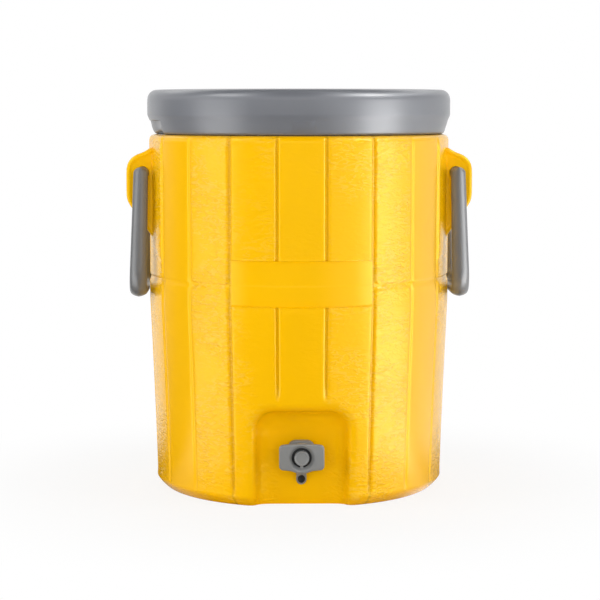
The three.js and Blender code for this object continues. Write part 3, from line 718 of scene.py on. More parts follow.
# The lid's outside, its inner wall and a finger recess's wall, as (radius, height) in millimetres
LID_OUTSIDE = (
    (163, 0.3), (164.6, 0.3), (166.3, 0.8), (167.6, 1.7), (168.6, 3.2), (169.3, 5.5), (170.4, 9), (171.6, 13),
    (172.3, 15.4), (172.9, 17), (173.6, 18.7), (174.3, 20.2), (174.8, 21.8), (175, 23.5), (175, 31),
    (175, 37.6), (174.85, 40.3), (174.4, 42.7), (173.5, 45), (172, 47.1), (170, 48.9), (167.7, 50.1),
    (165.2, 50.6), (162, 50.6), (158.4, 50.6), (157.3, 50.3), (156.4, 49.6), (154.9, 47.9), (154, 47),
    (153, 46.6), (151, 46.5), (120, 46.75), (80, 47.1), (40, 47.4), (10, 47.5),
)
LID_INSIDE = (
    (10, 44.3), (80, 44), (151, 43.4), (154.5, 44.2), (156.5, 46.6), (158.5, 47.4), (166.5, 47.4),
    (169.5, 46.4), (171.4, 44.4), (172, 41.5), (172, 22), (171, 20), (167.6, 16), (162.5, 4), (162.4, 3.4),
    (151, 3.4), (151, -3),
)
RECESS_WALL = (
    (154.6, -2), (154.6, 0.3), (157.5, 1.5), (160.4, 4), (162.6, 8), (163.9, 12), (164.5, 15.2), (172, 17),
)
RECESS_SPOTS = (-73, 107)


def round_lid(angle, shape):
    """Points of (radius, height) pairs at an angle round the lid"""
    x, y = math.sin(angle), -math.cos(angle)
    return [Vector((radius * x, radius * y, z + LID_BASE)) * MM for radius, z in shape]


def recess_block(middle, inward, half_width):
    """The space of one finger recess under the lid's rim, with its ends drawn in"""
    sections = []
    for step in range(13):
        share = step / 6 - 1
        angle = math.radians(middle + half_width * share)
        end = 1 - 0.36 * eased((-share - 0.3) / 0.7) - 0.93 * eased((share + 0.1) / 1.1)
        shape = [(185 - (185 - radius + inward) * end, z + inward * (z > 15)) for radius, z in RECESS_WALL]
        sections.append(round_lid(angle, shape + [(195, 17.4 + inward), (195, -2)]))
    return drawn_sections("recess", sections)


def lid_solid(name, profile):
    return turned(name, [(radius * MM, (z + LID_BASE) * MM) for radius, z in profile], 240)


def make_lid():
    """The lid, hollow from below, with two finger recesses and a low field on its skirt"""
    obj = lid_solid("lid", reversed(LID_OUTSIDE))
    hollow = lid_solid("hollow", LID_INSIDE)
    combine(hollow, [recess_block(spot, 2.5, 21) for spot in RECESS_SPOTS], "DIFFERENCE")
    combine(obj, [recess_block(spot, 0, 20) for spot in RECESS_SPOTS] + [hollow], "DIFFERENCE")
    combine(obj, [skirt_patch(-4, 5.6, 4.5, 16.5)], "UNION")
    smooth(obj, 32)
    return obj


def skirt_patch(start, end, low, high):
    """A low raised field on the slope under the rim, between two azimuths"""
    sections = []
    for step in range(7):
        angle = math.radians(start + (end - start) * step / 6)
        shape = []
        for z, out in ((low, 0), (low + 0.7, 0.55), (high - 0.7, 0.55), (high, 0), (high, -1.5), (low, -1.5)):
            shape.append((168.6 + (z - 3.9) * 0.3 + out * (0.4 if step in (0, 6) else 1), z))
        sections.append(round_lid(angle, shape))
    return drawn_sections("patch", sections)


# ---- bails

BAIL_PIVOT = (178.5, 0, 364)
BAIL_SIDES = 28
# The arms' distance from the middle, the grip's height from the pivot, and the radii of bends and arms' ends
ARM_Y, GRIP_Z, BEND_RADIUS, END_RADIUS = 57.5, -135.6, 26, 6.8
# Width and thickness, each at the pivot and at the grip
BAIL_WIDTH, BAIL_THICKNESS = (16.4, 20), (16, 14)


def bail_sections():
    """Rounded sections down one arm, round the corner, along the grip and up the other arm"""
    stations = [(-ARM_Y, share * END_RADIUS, 0) for share in (0.985, 0.93, 0.82, 0.66, 0.45, 0.22, 0)]
    stations += [(-ARM_Y, z, 0) for z in (-25, -55, -82)]
    for step in range(9):
        turn = math.radians(90 * step / 8)
        inward, lift = BEND_RADIUS * (1 - math.cos(turn)), BEND_RADIUS * (1 - math.sin(turn))
        stations.append((inward - ARM_Y, GRIP_Z + lift, turn))
    stations += [(y, GRIP_Z, math.pi / 2) for y in (-20, -10)]
    far = [(-y, z, math.pi - turn) for y, z, turn in reversed(stations)]
    sections = []
    for y, z, turn in stations + [(0, GRIP_Z, math.pi / 2)] + far:
        down = max(0.0, z / GRIP_Z)
        width = between(*BAIL_WIDTH, down)
        dome = math.sqrt(max(0.0, 1 - (max(0.0, z) / END_RADIUS) ** 2))
        thickness = between(*BAIL_THICKNESS, min(turn, math.pi - turn) / (math.pi / 2))
        ring = []
        for index in range(BAIL_SIDES):
            around = 2 * math.pi * (index + 0.5) / BAIL_SIDES
            across = math.copysign(abs(math.cos(around)) ** 1.4, math.cos(around)) * width / 2 * dome
            out = math.copysign(abs(math.sin(around)) ** 0.82, math.sin(around)) * thickness / 2
            x = BAIL_PIVOT[0] + 1.3 + 4.5 * down + across
            ring.append(Vector((x, y - out * math.cos(turn), BAIL_PIVOT[2] + z - out * math.sin(turn))) * MM)
        sections.append(ring)
    return sections


def bail_pin(name, radius, side, end, near, far):
    """A pin on a bail's pivot, or the socket round it, between two distances from the middle of its ear"""
    x, _, z = BAIL_PIVOT
    return rod(name, radius, (side * x, end * near, z), (side * x, end * far, z), 32)


def make_bail(name, is_left):
    """A bail with its two pins; the left one is made on the right and turned round"""
    obj = drawn_sections(name, bail_sections())
    combine(obj, [bail_pin("pin", 7, 1, end, 34.4, 57) for end in (-1, 1)], "UNION")
    if is_left:
        with editing(obj, action="SELECT"):
            turn_about_z(math.pi)
    smooth(obj, 40)
    return obj


# ---- tap

TAP_HEIGHT = 56
WALL_Y = -135
SPOUT_Y = WALL_Y - 7.5
SPOUT_RADIUS, SPOUT_BORE = 5.7, 4.1
SPOUT_TOP, SPOUT_TIP, SPOUT_SIDES = 52, 22, 48
MOUTH_SLOPE = math.tan(math.radians(52))
# The left half of the bulge under the bonnet
BONNET_BULGE = [
    (-17, -13.8), (-14.2, -14.1), (-12, -14.4), (-10.2, -14.9), (-8.6, -15.6), (-6.5, -16.3), (-4.4, -16.7),
    (-2.2, -16.9),
]


def wing_outline():
    """Outline of the plate with its two wings: a bowed top, round corners and a boss bulging at the bottom"""
    points = []
    for middle_x, middle_z, start in ((20.2, -8.9, -90), (20.2, 10, 0), (-20.2, 10, 90), (-20.2, -8.9, 180)):
        points += arc(middle_x, middle_z, 4.6, start, start + 90, 5)
        if start == 0:
            spots = (17, 13, 9, 4.5, 0, -4.5, -9, -13, -17)
            points += [(x, 14.6 + 1.2 * (1 - (x / 20.2) ** 2)) for x in spots]
        if start == 180:
            points += BONNET_BULGE + [(0, -17)] + [(-x, z) for x, z in reversed(BONNET_BULGE)]
    return points


def inset_outline(points, inset):
    """The outline moved inwards by a distance"""
    moved = []
    count = len(points)
    for index, (x, z) in enumerate(points):
        (x0, z0), (x1, z1) = points[index - 1], points[(index + 1) % count]
        size = math.hypot(x1 - x0, z1 - z0)
        moved.append((x - (z1 - z0) / size * inset, z + (x1 - x0) / size * inset))
    return moved


def along_wall(outline, depth, inset):
    """An outline of (x, height) pairs about the tap's axis, at a distance in front of the alcove's wall"""
    return [Vector((x, WALL_Y - depth, TAP_HEIGHT + z)) * MM for x, z in inset_outline(outline, inset)]


def turned_tap(name, profile, sides=96):
    """A piece turned on the tap's axis from (radius, distance in front of the wall) pairs in millimetres"""
    obj = lay_along_y(turned(name, [(r * MM, d * MM) for r, d in profile], sides), TAP_HEIGHT * MM)
    with editing(obj, action="SELECT"):
        bpy.ops.transform.translate(value=(0, WALL_Y * MM, 0))
    return obj


def along_sections(name, outline, depths):
    """A piece drawn from an outline on the wall, by (distance from the wall, inset) pairs"""
    return drawn_sections(name, [along_wall(outline, depth, inset) for depth, inset in depths])


def make_bonnet():
    """The winged plate with its skirt, the dish round the button and the wedge on its boss"""
    obj = along_sections("bonnet", wing_outline(), (
        (22.9, 0.6), (23.5, 0), (25.4, 0), (26.1, 0.2), (26.7, 0.7), (27.05, 1.4), (27.1, 2.2),
    ))
    skirt = turned_tap("skirt", ((14, 13.8), (14.6, 13.8), (15, 14.2), (15.2, 23.4), (15.2, 25), (14, 25)))
    combine(obj, [skirt], "UNION")
    cavity = turned_tap("cavity", ((14.3, 5), (14.3, 22.9)))
    dish = turned_tap("dish", (
        (10.9, 20), (10.9, 23.4), (11.1, 23.9), (12.5, 25.4), (13.3, 26.3), (13.8, 26.8), (14.5, 27.12),
        (15.2, 27.2), (15.2, 30),
    ))
    rib = ((-2.2, -14.2), (-1.6, -9), (-0.7, -7.9), (0.7, -7.9), (1.6, -9), (2.2, -14.2))
    wedge = along_sections("wedge", rib, ((23.2, 0), (24.6, 0)))
    with editing(wedge):
        pick_points(wedge, lambda co: co.z > (TAP_HEIGHT - 9.5) * MM and co.y < (WALL_Y - 24) * MM)
        bpy.ops.transform.translate(value=(0, 0.7 * MM, 0))
    # One tool for both: cut one after the other, the cavity's end now and then stays as a disc across the dish
    combine(cavity, [dish], "UNION")
    combine(obj, [cavity], "DIFFERENCE")
    combine(obj, [wedge], "UNION")
    smooth(obj, 32)
    # Painted shade: the inner wall of the dish round the button is coloured near black
    paint_shade(obj, lambda co, normal: co.y > (WALL_Y - 22.9) * MM and from_axis(co) < 11.2 * MM)
    return obj


def make_button():
    """The button with its rounded rim, the collar behind it and the hollow for the stem"""
    obj = turned_tap("button", (
        (5.6, 28.9), (6.2, 28.95), (6.6, 29.15), (7, 29.55), (7.4, 29.6), (7.75, 29.4), (8, 28.9),
        (8.1, 28.2), (8.2, 21.7), (12, 21.6), (12, 20.8), (6.8, 20.8), (6.8, 27.4), (2.7, 27.4),
    ), 64)
    smooth(obj, 40)
    # Painted shade: the faces behind the button's rim are coloured near black
    paint_shade(obj, lambda co, normal: co.y > (WALL_Y - 22.5) * MM and from_axis(co) > 8.1 * MM)
    return obj


def make_spring():
    """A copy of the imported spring, which its washer and the button's cap press together"""
    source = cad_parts["return_spring"]
    obj = bpy.data.objects.new("spring_coils", source.data.copy())
    bpy.context.collection.objects.link(obj)
    obj.data.transform(source.matrix_world)
    put_on(obj, materials["steel"])
    clean(obj)
    smooth(obj, 60)
    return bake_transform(obj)


def paint_shade(obj, test):
    """Painted shade: give the faces whose middle passes a test a near-black finish that stands in for the
    shade deep in the tap's hollows
    """
    obj.data.materials.append(materials["tap"])
    obj.data.materials.append(materials["seal"])
    obj.active_material_index = 1
    with editing(obj, "FACE"):
        pick(obj, "faces", lambda face: test(face.calc_center_median(), face.normal))
        bpy.ops.object.material_slot_assign()


def from_axis(co):
    """Distance from the axis of the tap's button"""
    return math.hypot(co.x, co.z - TAP_HEIGHT * MM)


def make_tap_body():
    """The tap's barrel and shank, its arched collar against the wall and its spout with a steep mouth"""
    obj = turned_tap("tap_barrel", ((11, -29.5), (11, 3), (14, 3.1), (14, 22.2), (13.7, 22.6)))
    outline = []
    for middle_x, middle_z, start in ((6, -5.8, -90), (6, 7.6, 0), (-6, 7.6, 90), (-6, -5.8, 180)):
        outline += arc(middle_x, middle_z, 9, start, start + 90, 8)
    collar = along_sections("collar", outline, (
        (3, 0.3), (3.3, 0), (7.4, 0), (8.2, 0.3), (8.7, 1), (8.8, 1.8),
    ))
    combine(obj, [collar, spout_tube(SPOUT_RADIUS)], "UNION")
    inside = turned_tap("inside", (
        (6, -40), (6, 3.5), (8, 3.5), (8, 11.5), (3.3, 11.5), (3.3, 12.2), (5.3, 12.2), (5.3, 14.5),
        (12.3, 14.5), (12.3, 32),
    ))
    combine(obj, [inside, spout_tube(SPOUT_BORE, 14)], "DIFFERENCE")
    smooth(obj, 35)
    # Painted shade: the spout's bore is coloured near black
    paint_shade(obj, lambda co, normal: co.z < 50 * MM and abs(normal.z) < 0.5
           and math.hypot(co.x, co.y - SPOUT_Y * MM) < (SPOUT_BORE + 0.2) * MM)
    return obj


def spout_tube(radius, below=0.0):
    """A rod down from the tap's chamber: the spout with its steep mouth, or its bore when it ends below"""
    sections = []
    for share in (0, 0.04, 1):
        ring = []
        for index in range(SPOUT_SIDES):
            turn = 2 * math.pi * index / SPOUT_SIDES
            x, y = radius * math.cos(turn), radius * math.sin(turn)
            mouth = SPOUT_TIP - below + (SPOUT_RADIUS - y) * MOUTH_SLOPE * (below == 0)
            ring.append(Vector((x, SPOUT_Y + y, between(mouth, SPOUT_TOP, share))) * MM)
        sections.append(ring)
    return drawn_sections("spout", sections)


# ---- finishes


class Nodes:
    """A small helper that adds and links the nodes of a new material, or of another node tree"""

    def __init__(self, name, tree=None):
        if tree:
            self.tree = tree
            tree.nodes.clear()
            return
        self.material = bpy.data.materials.new(name)
        self.material.use_nodes = True
        self.tree = self.material.node_tree
        self.tree.nodes.clear()
        self.output = self.add("ShaderNodeOutputMaterial")
        self.shader = self.add("ShaderNodeBsdfPrincipled")
        self.put(self.shader.outputs[0], self.output.inputs[0])
        self.place = self.add("ShaderNodeTexCoord").outputs["Object"]

    def add(self, kind, **settings):
        node = self.tree.nodes.new(kind)
        for key, value in settings.items():
            setattr(node, key, value)
        return node

    def put(self, value, socket):
        """Link another node's output to a socket, or set the socket to a plain value"""
        if isinstance(value, bpy.types.NodeSocket):
            self.tree.links.new(value, socket)
        else:
            socket.default_value = value

    def fill(self, node, *values):
        """Give a node's first inputs their values, in order"""
        for socket, value in zip(node.inputs, values):
            self.put(value, socket)
        return node.outputs

    def feed(self, values):
        """Give the shader's inputs their values, by name"""
        for name, value in values.items():
            self.put(value, self.shader.inputs[name])

    def maths(self, operation, *values):
        return self.fill(self.add("ShaderNodeMath", operation=operation), *values)[0]

    def times(self, first, *others):
        for other in others:
            first = self.maths("MULTIPLY", first, other)
        return first

    def away(self, value, middle):
        return self.maths("ABSOLUTE", self.maths("SUBTRACT", value, middle))

    def split(self, vector):
        return self.fill(self.add("ShaderNodeSeparateXYZ"), vector)

    def azimuth(self, x, y):
        """The angle round the upright axis in degrees, 0 in front"""
        return self.times(self.maths("ARCTAN2", x, self.times(y, -1)), 180 / math.pi)

    def stretched(self, scale):
        node = self.add("ShaderNodeMapping")
        self.put(scale, node.inputs["Scale"])
        self.put(self.place, node.inputs["Vector"])
        return node.outputs[0]

    def noise(self, scale, detail, roughness=0.5, distortion=0.0, place=None, output="Fac"):
        node = self.add("ShaderNodeTexNoise")
        self.put(scale, node.inputs["Scale"])
        self.put(detail, node.inputs["Detail"])
        self.put(roughness, node.inputs["Roughness"])
        self.put(distortion, node.inputs["Distortion"])
        self.put(place or self.place, node.inputs["Vector"])
        return node.outputs[output]

    def cells(self, scale, feature="F1", place=None):
        node = self.add("ShaderNodeTexVoronoi", feature=feature)
        self.put(scale, node.inputs["Scale"])
        self.put(place or self.place, node.inputs["Vector"])
        return node.outputs["Distance"]

    def ramp(self, value, stops):
        """Greys or colours by the value, from (position, shade) stops"""
        node = self.add("ShaderNodeValToRGB")
        elements = node.color_ramp.elements
        while len(elements) < len(stops):
            elements.new(0.5)
        for element, (position, shade) in zip(elements, stops):
            element.position = position
            element.color = (*shade, 1) if isinstance(shade, tuple) else (shade, shade, shade, 1)
        return self.fill(node, value)["Color"]

    def tones(self, value, shade, *stops):
        """One shade made darker or lighter by the value, from (position, factor) stops"""
        return self.ramp(value, [(position, tone(shade, factor)) for position, factor in stops])

    def mix(self, share, below, above):
        node = self.add("ShaderNodeMix", data_type="RGBA")
        self.put(share, node.inputs["Factor"])
        self.put(below, node.inputs[6])
        self.put(above, node.inputs[7])
        return node.outputs[2]

    def ridge(self, value, sharpness):
        """1 along the lines where a noise crosses its middle, falling off on both sides"""
        return self.range(self.times(self.away(value, 0.5), sharpness), 0, 1, 1, 0)

    def bump(self, height, distance, strength):
        node = self.add("ShaderNodeBump")
        self.put(distance, node.inputs["Distance"])
        self.put(strength, node.inputs["Strength"])
        self.put(height, node.inputs["Height"])
        return node.outputs["Normal"]

    def range(self, value, low, high, to_low=0.0, to_high=1.0):
        """Ease from one value to another between two limits"""
        node = self.add("ShaderNodeMapRange", interpolation_type="SMOOTHSTEP")
        return self.fill(node, value, low, high, to_low, to_high)[0]


def tone(shade, factor):
    return tuple(min(1.0, value * factor) for value in shade)


# The grain's strength by the share of the way from the middle of the front to the side
GRAIN_STRENGTH = (
    (0.0, 0.14), (0.09, 0.14), (0.11, 0.32), (0.29, 0.4), (0.31, 0.62), (0.48, 0.62), (0.5, 0.03),
    (0.69, 0.03), (0.715, 0.55), (0.88, 0.55), (0.92, 0.2),
)
# Where the finish changes: the middle height and half height of the plate, the radii between which the
# alcove's back ends, the radius where the ears begin (metres), and the grooves' angles (degrees)
PLATE_MIDDLE, PLATE_REACH = 0.2479, (0.0235, 0.0262)
ALCOVE_RADII = (0.152, 0.158)
EAR_RADII = (0.1748, 0.1754)
GROOVES = (STAVE_ANGLE / 2, PLATE_ANGLE)
# The pale colour painted on the grain's crests as highlights
CREST_HIGHLIGHT_COLOUR = (1, 0.66, 0.16, 1)


def barrel_finish(shade):
    """Moulded plastic with leather-like creases that are strongest on the staves beside the middle ones, with
    painted highlights on their crests and painted shade in the deep grooves
    """
    nodes = Nodes("moulded_yellow")
    x, y, z = nodes.split(nodes.place)
    radius = nodes.maths("SQRT", nodes.maths("MULTIPLY_ADD", x, x, nodes.times(y, y)))
    # The back is grained as the front is
    angle = nodes.maths("SUBTRACT", 90, nodes.away(nodes.maths("ABSOLUTE", nodes.azimuth(x, y)), 90))
    # Patches where the grain runs stronger and weaker; none on the ears, nor on the name plate
    off_plate = nodes.maths(
        "MAXIMUM", nodes.range(nodes.away(z, PLATE_MIDDLE), *PLATE_REACH), nodes.range(angle, 26.2, 27.2)
    )
    mask = nodes.times(
        nodes.ramp(nodes.maths("DIVIDE", angle, 90), GRAIN_STRENGTH),
        nodes.range(nodes.noise(16, 2), 0.36, 0.6, 0.3, 1.0),
        nodes.range(radius, *EAR_RADII, 1, 0),
        nodes.maths("MAXIMUM", off_plate, 0.08),
        nodes.range(radius, *ALCOVE_RADII),
    )
    # Low in the alcove, on both sides, the skin is wrinkled
    low = nodes.times(
        nodes.range(radius, *ALCOVE_RADII, 1, 0), nodes.range(z, 0.04, 0.08, 1, 0),
        nodes.range(nodes.maths("ABSOLUTE", x), 0.018, 0.032), 0.3
    )
    mask = nodes.maths("ADD", mask, low)
    # Cells of a leather grain, drawn out sideways and shaken by a noise, and long folds across them
    shaken = nodes.fill(
        nodes.add("ShaderNodeVectorMath", operation="MULTIPLY_ADD"),
        nodes.noise(38, 2, output="Color"), (0.02, 0.02, 0.024), nodes.stretched((1, 1, 2.4))
    )[0]
    raised = nodes.range(nodes.cells(78, "DISTANCE_TO_EDGE", shaken), 0.0, 0.26)
    fold = nodes.ridge(nodes.noise(26, 3, 0.5, 0.7, nodes.stretched((1, 1, 3.0))), 13)
    welt = nodes.range(nodes.noise(128, 1, 0.5, 1.0, nodes.stretched((1, 1, 2.6))), 0.52, 0.63)
    height = nodes.maths("MULTIPLY_ADD", fold, 0.3, nodes.times(welt, 0.4))
    height = nodes.maths("MULTIPLY_ADD", raised, 0.3, height)
    # Painted highlights: the crests of the grain are coloured pale, standing in for glints; and a slow drift
    # of the shade
    glint_crests = nodes.maths("MAXIMUM", nodes.range(welt, 0.4, 0.95), nodes.range(fold, 0.75, 1.0, 0, 0.8))
    pale = nodes.times(glint_crests, nodes.range(mask, 0.1, 0.5, 0, 0.23), nodes.range(radius, 0.158, 0.164))
    plain = nodes.tones(nodes.noise(9, 2), shade, (0.3, 0.985), (0.7, 1.015))
    # Painted shade: the colour is darkened along the deep grooves
    middle, deep = [nodes.range(nodes.away(angle, groove), 0.25, 0.8, 1, 0) for groove in GROOVES]
    middle = nodes.times(middle, off_plate, nodes.range(z, 0.12, 0.128))
    shaded = nodes.mix(
        nodes.times(nodes.maths("MAXIMUM", deep, middle), 0.45), plain, (*tone(shade, 0.55), 1)
    )
    nodes.feed({
        "Normal": nodes.bump(height, 0.002, mask),
        "Base Color": nodes.mix(pale, shaded, CREST_HIGHLIGHT_COLOUR),
        "Roughness": nodes.range(nodes.noise(700, 2), 0.3, 0.7, 0.2, 0.25),
        "Specular IOR Level": 0.5,
        "Specular Tint": (1, 0.92, 0.12, 1),
        "Coat Weight": 0.21,
        "Coat Roughness": 0.1,
    })
    return nodes.material


def plastic_finish(name, shade, roughness, scale, depth, drift=0.05, gloss=0.5):
    """Moulded plastic: a fine even texture, slight drifts in its colour and in its gloss"""
    nodes = Nodes(name)
    fine = nodes.noise(scale, 4, 0.6)
    nodes.feed({
        "Normal": nodes.bump(fine, depth, 0.2),
        "Base Color": nodes.tones(nodes.noise(14, 3), tuple(shade), (0.3, 1 - drift), (0.7, 1 + drift)),
        "Roughness": nodes.range(fine, 0.3, 0.7, roughness - 0.02, roughness + 0.03),
        "Specular IOR Level": gloss,
    })
    return nodes.material


def metal_finish(name, shade):
    """Drawn steel: fine lines along its length and small differences in gloss"""
    nodes = Nodes(name)
    lines = nodes.noise(900, 3, 0.6, 0, nodes.stretched((1, 0.1, 1)))
    nodes.feed({
        "Normal": nodes.bump(lines, 0.00004, 0.6),
        "Base Color": nodes.tones(lines, shade, (0.3, 0.9), (0.7, 1)),
        "Roughness": nodes.range(lines, 0.3, 0.7, 0.2, 0.35),
        "Metallic": 1,
    })
    return nodes.material


def foam_finish(name, shade):
    """Rigid foam: open cells, matt"""
    nodes = Nodes(name)
    cells = nodes.cells(900)
    nodes.feed({
        "Normal": nodes.bump(cells, 0.0005, 0.8),
        "Base Color": nodes.tones(cells, shade, (0.1, 0.85), (0.6, 1)),
        "Roughness": 0.9,
    })
    return nodes.material


def put_on(obj, material):
    """Give a piece one material in place of what it has"""
    obj.data.materials.clear()
    obj.data.materials.append(material)


NODE_FINISHES = {
    "yellow": ("outer_shell", "foam_fill_plug", "foam_vent_plug"),
    "lid": ("lid_shell",),
    "bail": ("bail_left", "bail_right"),
    "tap": ("tap_body", "tap_bonnet", "push_button", "shank_nut"),
    "white": ("inner_liner", "lid_liner"),
    "foam": ("insulation_foam", "lid_foam"),
    "steel": ("plunger_stem", "return_spring", "spring_washer"),
    "silicone": ("valve_seal", "lid_gasket"),
    "rubber": ("stem_o_ring", "outer_gasket", "inner_gasket"),
}
# The finishes by name, filled in by their operator
materials = {}


# ---- operators


class DISPENSER_OT_finishes(bpy.types.Operator):
    """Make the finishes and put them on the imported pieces"""

    bl_idname = "dispenser.finishes"
    bl_label = "Finishes"

    def execute(self, context):
        look = context.scene.dispenser_finish
        # Roughness, scale and depth of the texture, then drift of the colour and gloss where they differ
        plastics = {
            "lid": ("grey_lid_plastic", look.lid_grey, 0.3, 500, 0.00004, 0.05, 0.75),
            "bail": ("grey_bail_plastic", look.bail_grey, 0.3, 600, 0.00008, 0.05, 0.75),
            "tap": ("grey_tap_plastic", look.tap_grey, 0.42, 800, 0.00008),
            "white": ("white_liner_plastic", look.white, 0.35, 500, 0.00006, 0.02),
            # Painted shade: a near-black plastic put on the tap's deep hollows
            "seal": ("dark_seal", (0.018, 0.018, 0.018), 0.5, 900, 0.00005),
            "rubber": ("black_rubber", (0.02, 0.02, 0.02), 0.6, 900, 0.0001),
            "silicone": ("clear_silicone", (0.6, 0.6, 0.57), 0.45, 700, 0.00008),
        }
        materials["yellow"] = barrel_finish(tuple(look.yellow))
        for finish, settings in plastics.items():
            materials[finish] = plastic_finish(*settings)
        materials["steel"] = metal_finish("drawn_steel", (0.62, 0.61, 0.6))
        materials["foam"] = foam_finish("rigid_foam", (0.75, 0.68, 0.42))
        for finish, names in NODE_FINISHES.items():
            for name in names:
                put_on(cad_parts[name], materials[finish])
        return {"FINISHED"}


def settle(obj, body, finish, node):
    """Say what a new piece rides on, what it stands for and what it is made of"""
    if not obj.data.materials:
        put_on(obj, materials[finish])
    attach(obj, body)
    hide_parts(node)


class DISPENSER_OT_shell(bpy.types.Operator):
    """Make the barrel with its staves, plate, alcove and ears"""

    bl_idname = "dispenser.shell"
    bl_label = "Barrel"

    def execute(self, context):
        obj = make_shell(context.scene.dispenser_barrel, context.scene.dispenser_alcove)
        settle(obj, "cooler", "yellow", "outer_shell")
        return {"FINISHED"}


class DISPENSER_OT_lid(bpy.types.Operator):
    """Make the lid with its rim, skirt and finger recesses"""

    bl_idname = "dispenser.lid"
    bl_label = "Lid"

    def execute(self, context):
        settle(make_lid(), "lid", "lid", "lid_shell")
        return {"FINISHED"}


class DISPENSER_OT_bails(bpy.types.Operator):
    """Make the two swinging bails"""

    bl_idname = "dispenser.bails"
    bl_label = "Bails"

    def execute(self, context):
        for side in ("left", "right"):
            bail = make_bail(side + "_bail_loop", side == "left")
            settle(bail, side + "_bail", "bail", "bail_" + side)
        return {"FINISHED"}


class DISPENSER_OT_tap(bpy.types.Operator):
    """Make the tap's body, its winged bonnet, its button and the spring between them"""

    bl_idname = "dispenser.tap"
    bl_label = "Tap"

    def execute(self, context):
        settle(make_tap_body(), "cooler", "tap", "tap_body")
        settle(make_bonnet(), "cooler", "tap", "tap_bonnet")
        settle(make_button(), "button", "tap", "push_button")
        spring = make_spring()
        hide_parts("return_spring")
        return {"FINISHED"}


# ---- stage

# Lamps: place, what they point at, width and height, and power
LAMPS = {
    "front_box": ((0, -2.6, 0.64), (0, 0, 0.2), (3.2, 1.2), 32),
    "left_box": ((-2.2, -0.6, 1.1), (0, 0, 0.25), (1.2, 1.8), 25),
    "right_box": ((2.2, -0.6, 1.1), (0, 0, 0.25), (1.4, 1.8), 21),
    "back_box": ((0, 2.6, 0.9), (0, 0, 0.2), (3.2, 1.2), 20),
    "top_box": ((0, 0.3, 2.6), (0, 0, 0.3), (2.4, 2.0), 7),
}
# What gloss shows of the studio: azimuth of the middle, half width, reach of the soft edge and brightness
STUDIO = (
    ("white_wall_behind", 180, 45, 80, 1.0),
    ("left_box", -63, 7, 27, 2.95),
    ("right_box", 63, 5, 25, 6.2),
    ("right_screen", 70, 30, 62, 1.6),
)
ROOM_GLOW = 0.02
WHITE = (1, 1, 1, 1)
FLOOR_SIZE = 14


def area_light(name, place, target, size, energy):
    """A lamp that lights the object but isn't shown by gloss, which sees the studio's boxes instead"""
    light = bpy.data.lights.new(name, "AREA")
    light.shape = "RECTANGLE"
    light.size, light.size_y = size
    light.energy = energy
    obj = bpy.data.objects.new(name, light)
    bpy.context.collection.objects.link(obj)
    obj.location = place
    obj.rotation_euler = (Vector(target) - Vector(place)).to_track_quat("-Z", "Y").to_euler()
    obj.visible_glossy = False


def studio_glow(nodes, direction):
    """The brightness that gloss shows in a direction from the object, and how far that direction rises"""
    x, y, rise = nodes.split(direction)
    turn = nodes.azimuth(x, y)
    glow = ROOM_GLOW
    for _, middle, half_width, reach, brightness in STUDIO:
        away = nodes.maths("WRAP", nodes.maths("SUBTRACT", turn, middle), 180, -180)
        box = nodes.range(nodes.maths("ABSOLUTE", away), half_width, reach, brightness, 0.0)
        glow = nodes.maths("ADD", box, glow)
    return glow, rise


def stage_light(nodes, kind, plain, glow, strength):
    """Show white to the camera and through glass, the glow in gloss, and the plain shader otherwise"""
    path = nodes.add("ShaderNodeLightPath").outputs
    seen = nodes.maths("MAXIMUM", path["Is Camera Ray"], path["Is Transmission Ray"])
    shown = plain
    for share, light in ((path["Is Glossy Ray"], glow), (nodes.times(seen, strength), 1.0)):
        white = nodes.add(kind)
        nodes.put(WHITE, white.inputs["Color"])
        nodes.put(light, white.inputs["Strength"])
        shown = nodes.fill(nodes.add("ShaderNodeMixShader"), share, shown, white.outputs[0])[0]
    nodes.put(shown, nodes.output.inputs[0])


def stage_finish():
    """A pale floor that fades to plain white away from the object and keeps its shadow"""
    nodes = Nodes("pale_floor")
    nodes.feed({
        "Base Color": nodes.ramp(nodes.noise(60, 2), ((0.3, 0.83), (0.7, 0.85))),
        "Roughness": 0.75,
    })
    distance = nodes.fill(nodes.add("ShaderNodeVectorMath", operation="LENGTH"), nodes.place)["Value"]
    glow = nodes.times(studio_glow(nodes, nodes.place)[0], nodes.range(distance, 0.19, 0.45, 0.12))
    strength = nodes.range(distance, 0.2, 0.5, 0.85, 1.0)
    stage_light(nodes, "ShaderNodeEmission", nodes.shader.outputs[0], glow, strength)
    return nodes.material


def make_surroundings(scene):
    """White surroundings that light the object evenly and show the studio in gloss"""
    world = bpy.data.worlds.new("surroundings")
    scene.world = world
    world.use_nodes = True
    nodes = Nodes("surroundings", world.node_tree)
    nodes.output = nodes.add("ShaderNodeOutputWorld")
    plain = nodes.add("ShaderNodeBackground")
    nodes.fill(plain, WHITE, 0.27)
    glow, rise = studio_glow(nodes, nodes.add("ShaderNodeTexCoord").outputs["Generated"])
    # Above the boxes gloss sees plain white, and higher up a soft strip that follows them
    white = nodes.times(nodes.range(rise, 0.06, 0.14), nodes.range(rise, 0.4, 0.5, 1.0, 0.0))
    strip = nodes.times(nodes.range(rise, 0.4, 0.5, 1.0, 2.2), nodes.range(rise, 0.64, 0.85, 1.0, 0.12))
    glow = nodes.times(glow, strip)
    glow = nodes.maths("MULTIPLY_ADD", nodes.maths("SUBTRACT", 1, glow), white, glow)
    stage_light(nodes, "ShaderNodeBackground", plain.outputs[0], glow, 1.0)


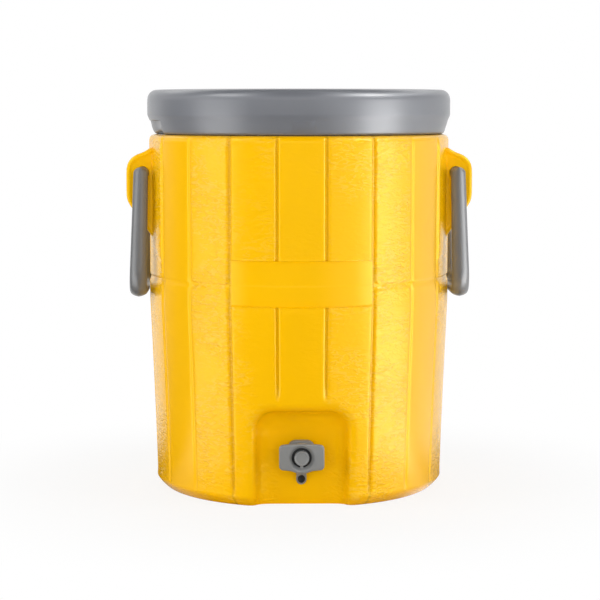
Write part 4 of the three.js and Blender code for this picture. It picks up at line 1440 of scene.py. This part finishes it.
def make_camera(scene, stage):
    """The camera as it was fitted to the photograph, 600 pixels wide with its middle at 298.7"""
    lens = bpy.data.cameras.new("camera")
    lens.sensor_width = 36
    lens.lens = stage.focal_length
    lens.shift_x = (300 - 298.7) / 600
    camera = bpy.data.objects.new("camera", lens)
    scene.collection.objects.link(camera)
    camera.location = (
        math.sin(stage.turn) * stage.distance, -math.cos(stage.turn) * stage.distance, stage.eye
    )
    camera.rotation_euler = (math.pi / 2 - stage.tilt, 0, stage.turn)
    scene.camera = camera


class DISPENSER_OT_stage(bpy.types.Operator):
    """Make the floor, the lamps, the white surroundings and the camera"""

    bl_idname = "dispenser.stage"
    bl_label = "Stage"

    def execute(self, context):
        deselect()
        bpy.ops.mesh.primitive_plane_add(size=FLOOR_SIZE)
        floor = named("floor")
        put_on(floor, stage_finish())
        for name, settings in LAMPS.items():
            area_light(name, *settings)
        make_surroundings(context.scene)
        make_camera(context.scene, context.scene.dispenser_stage)
        context.scene.view_settings.view_transform = "Standard"
        return {"FINISHED"}


class DISPENSER_PT_panel(bpy.types.Panel):
    """The dispenser's operators and sizes"""

    bl_idname = "DISPENSER_PT_panel"
    bl_label = "Dispenser"
    bl_space_type = "VIEW_3D"
    bl_region_type = "UI"
    bl_category = "Dispenser"

    def draw(self, context):
        for operator in OPERATORS:
            self.layout.operator(operator.bl_idname)
        for group in GROUPS:
            box = self.layout.box()
            box.label(text=group.replace("dispenser_", "").title())
            for name in GROUPS[group].__annotations__:
                box.prop(getattr(context.scene, group), name)


GROUPS = {
    "dispenser_barrel": DispenserBarrel,
    "dispenser_alcove": DispenserAlcove,
    "dispenser_finish": DispenserFinish,
    "dispenser_stage": DispenserStage,
}
OPERATORS = (
    DISPENSER_OT_finishes, DISPENSER_OT_shell, DISPENSER_OT_lid, DISPENSER_OT_bails, DISPENSER_OT_tap,
    DISPENSER_OT_stage,
)
CLASSES = (*GROUPS.values(), *OPERATORS, DISPENSER_PT_panel)


def register():
    for group in CLASSES:
        bpy.utils.register_class(group)
    for name, group in GROUPS.items():
        setattr(bpy.types.Scene, name, bpy.props.PointerProperty(type=group))


def unregister():
    for name in GROUPS:
        delattr(bpy.types.Scene, name)
    for group in reversed(CLASSES):
        bpy.utils.unregister_class(group)


def main():
    register()
    bpy.ops.dispenser.finishes()
    bpy.ops.dispenser.shell()
    bpy.ops.dispenser.lid()
    bpy.ops.dispenser.bails()
    bpy.ops.dispenser.tap()
    bpy.ops.dispenser.stage()
    object_mode()


if __name__ == "__main__":
    main()
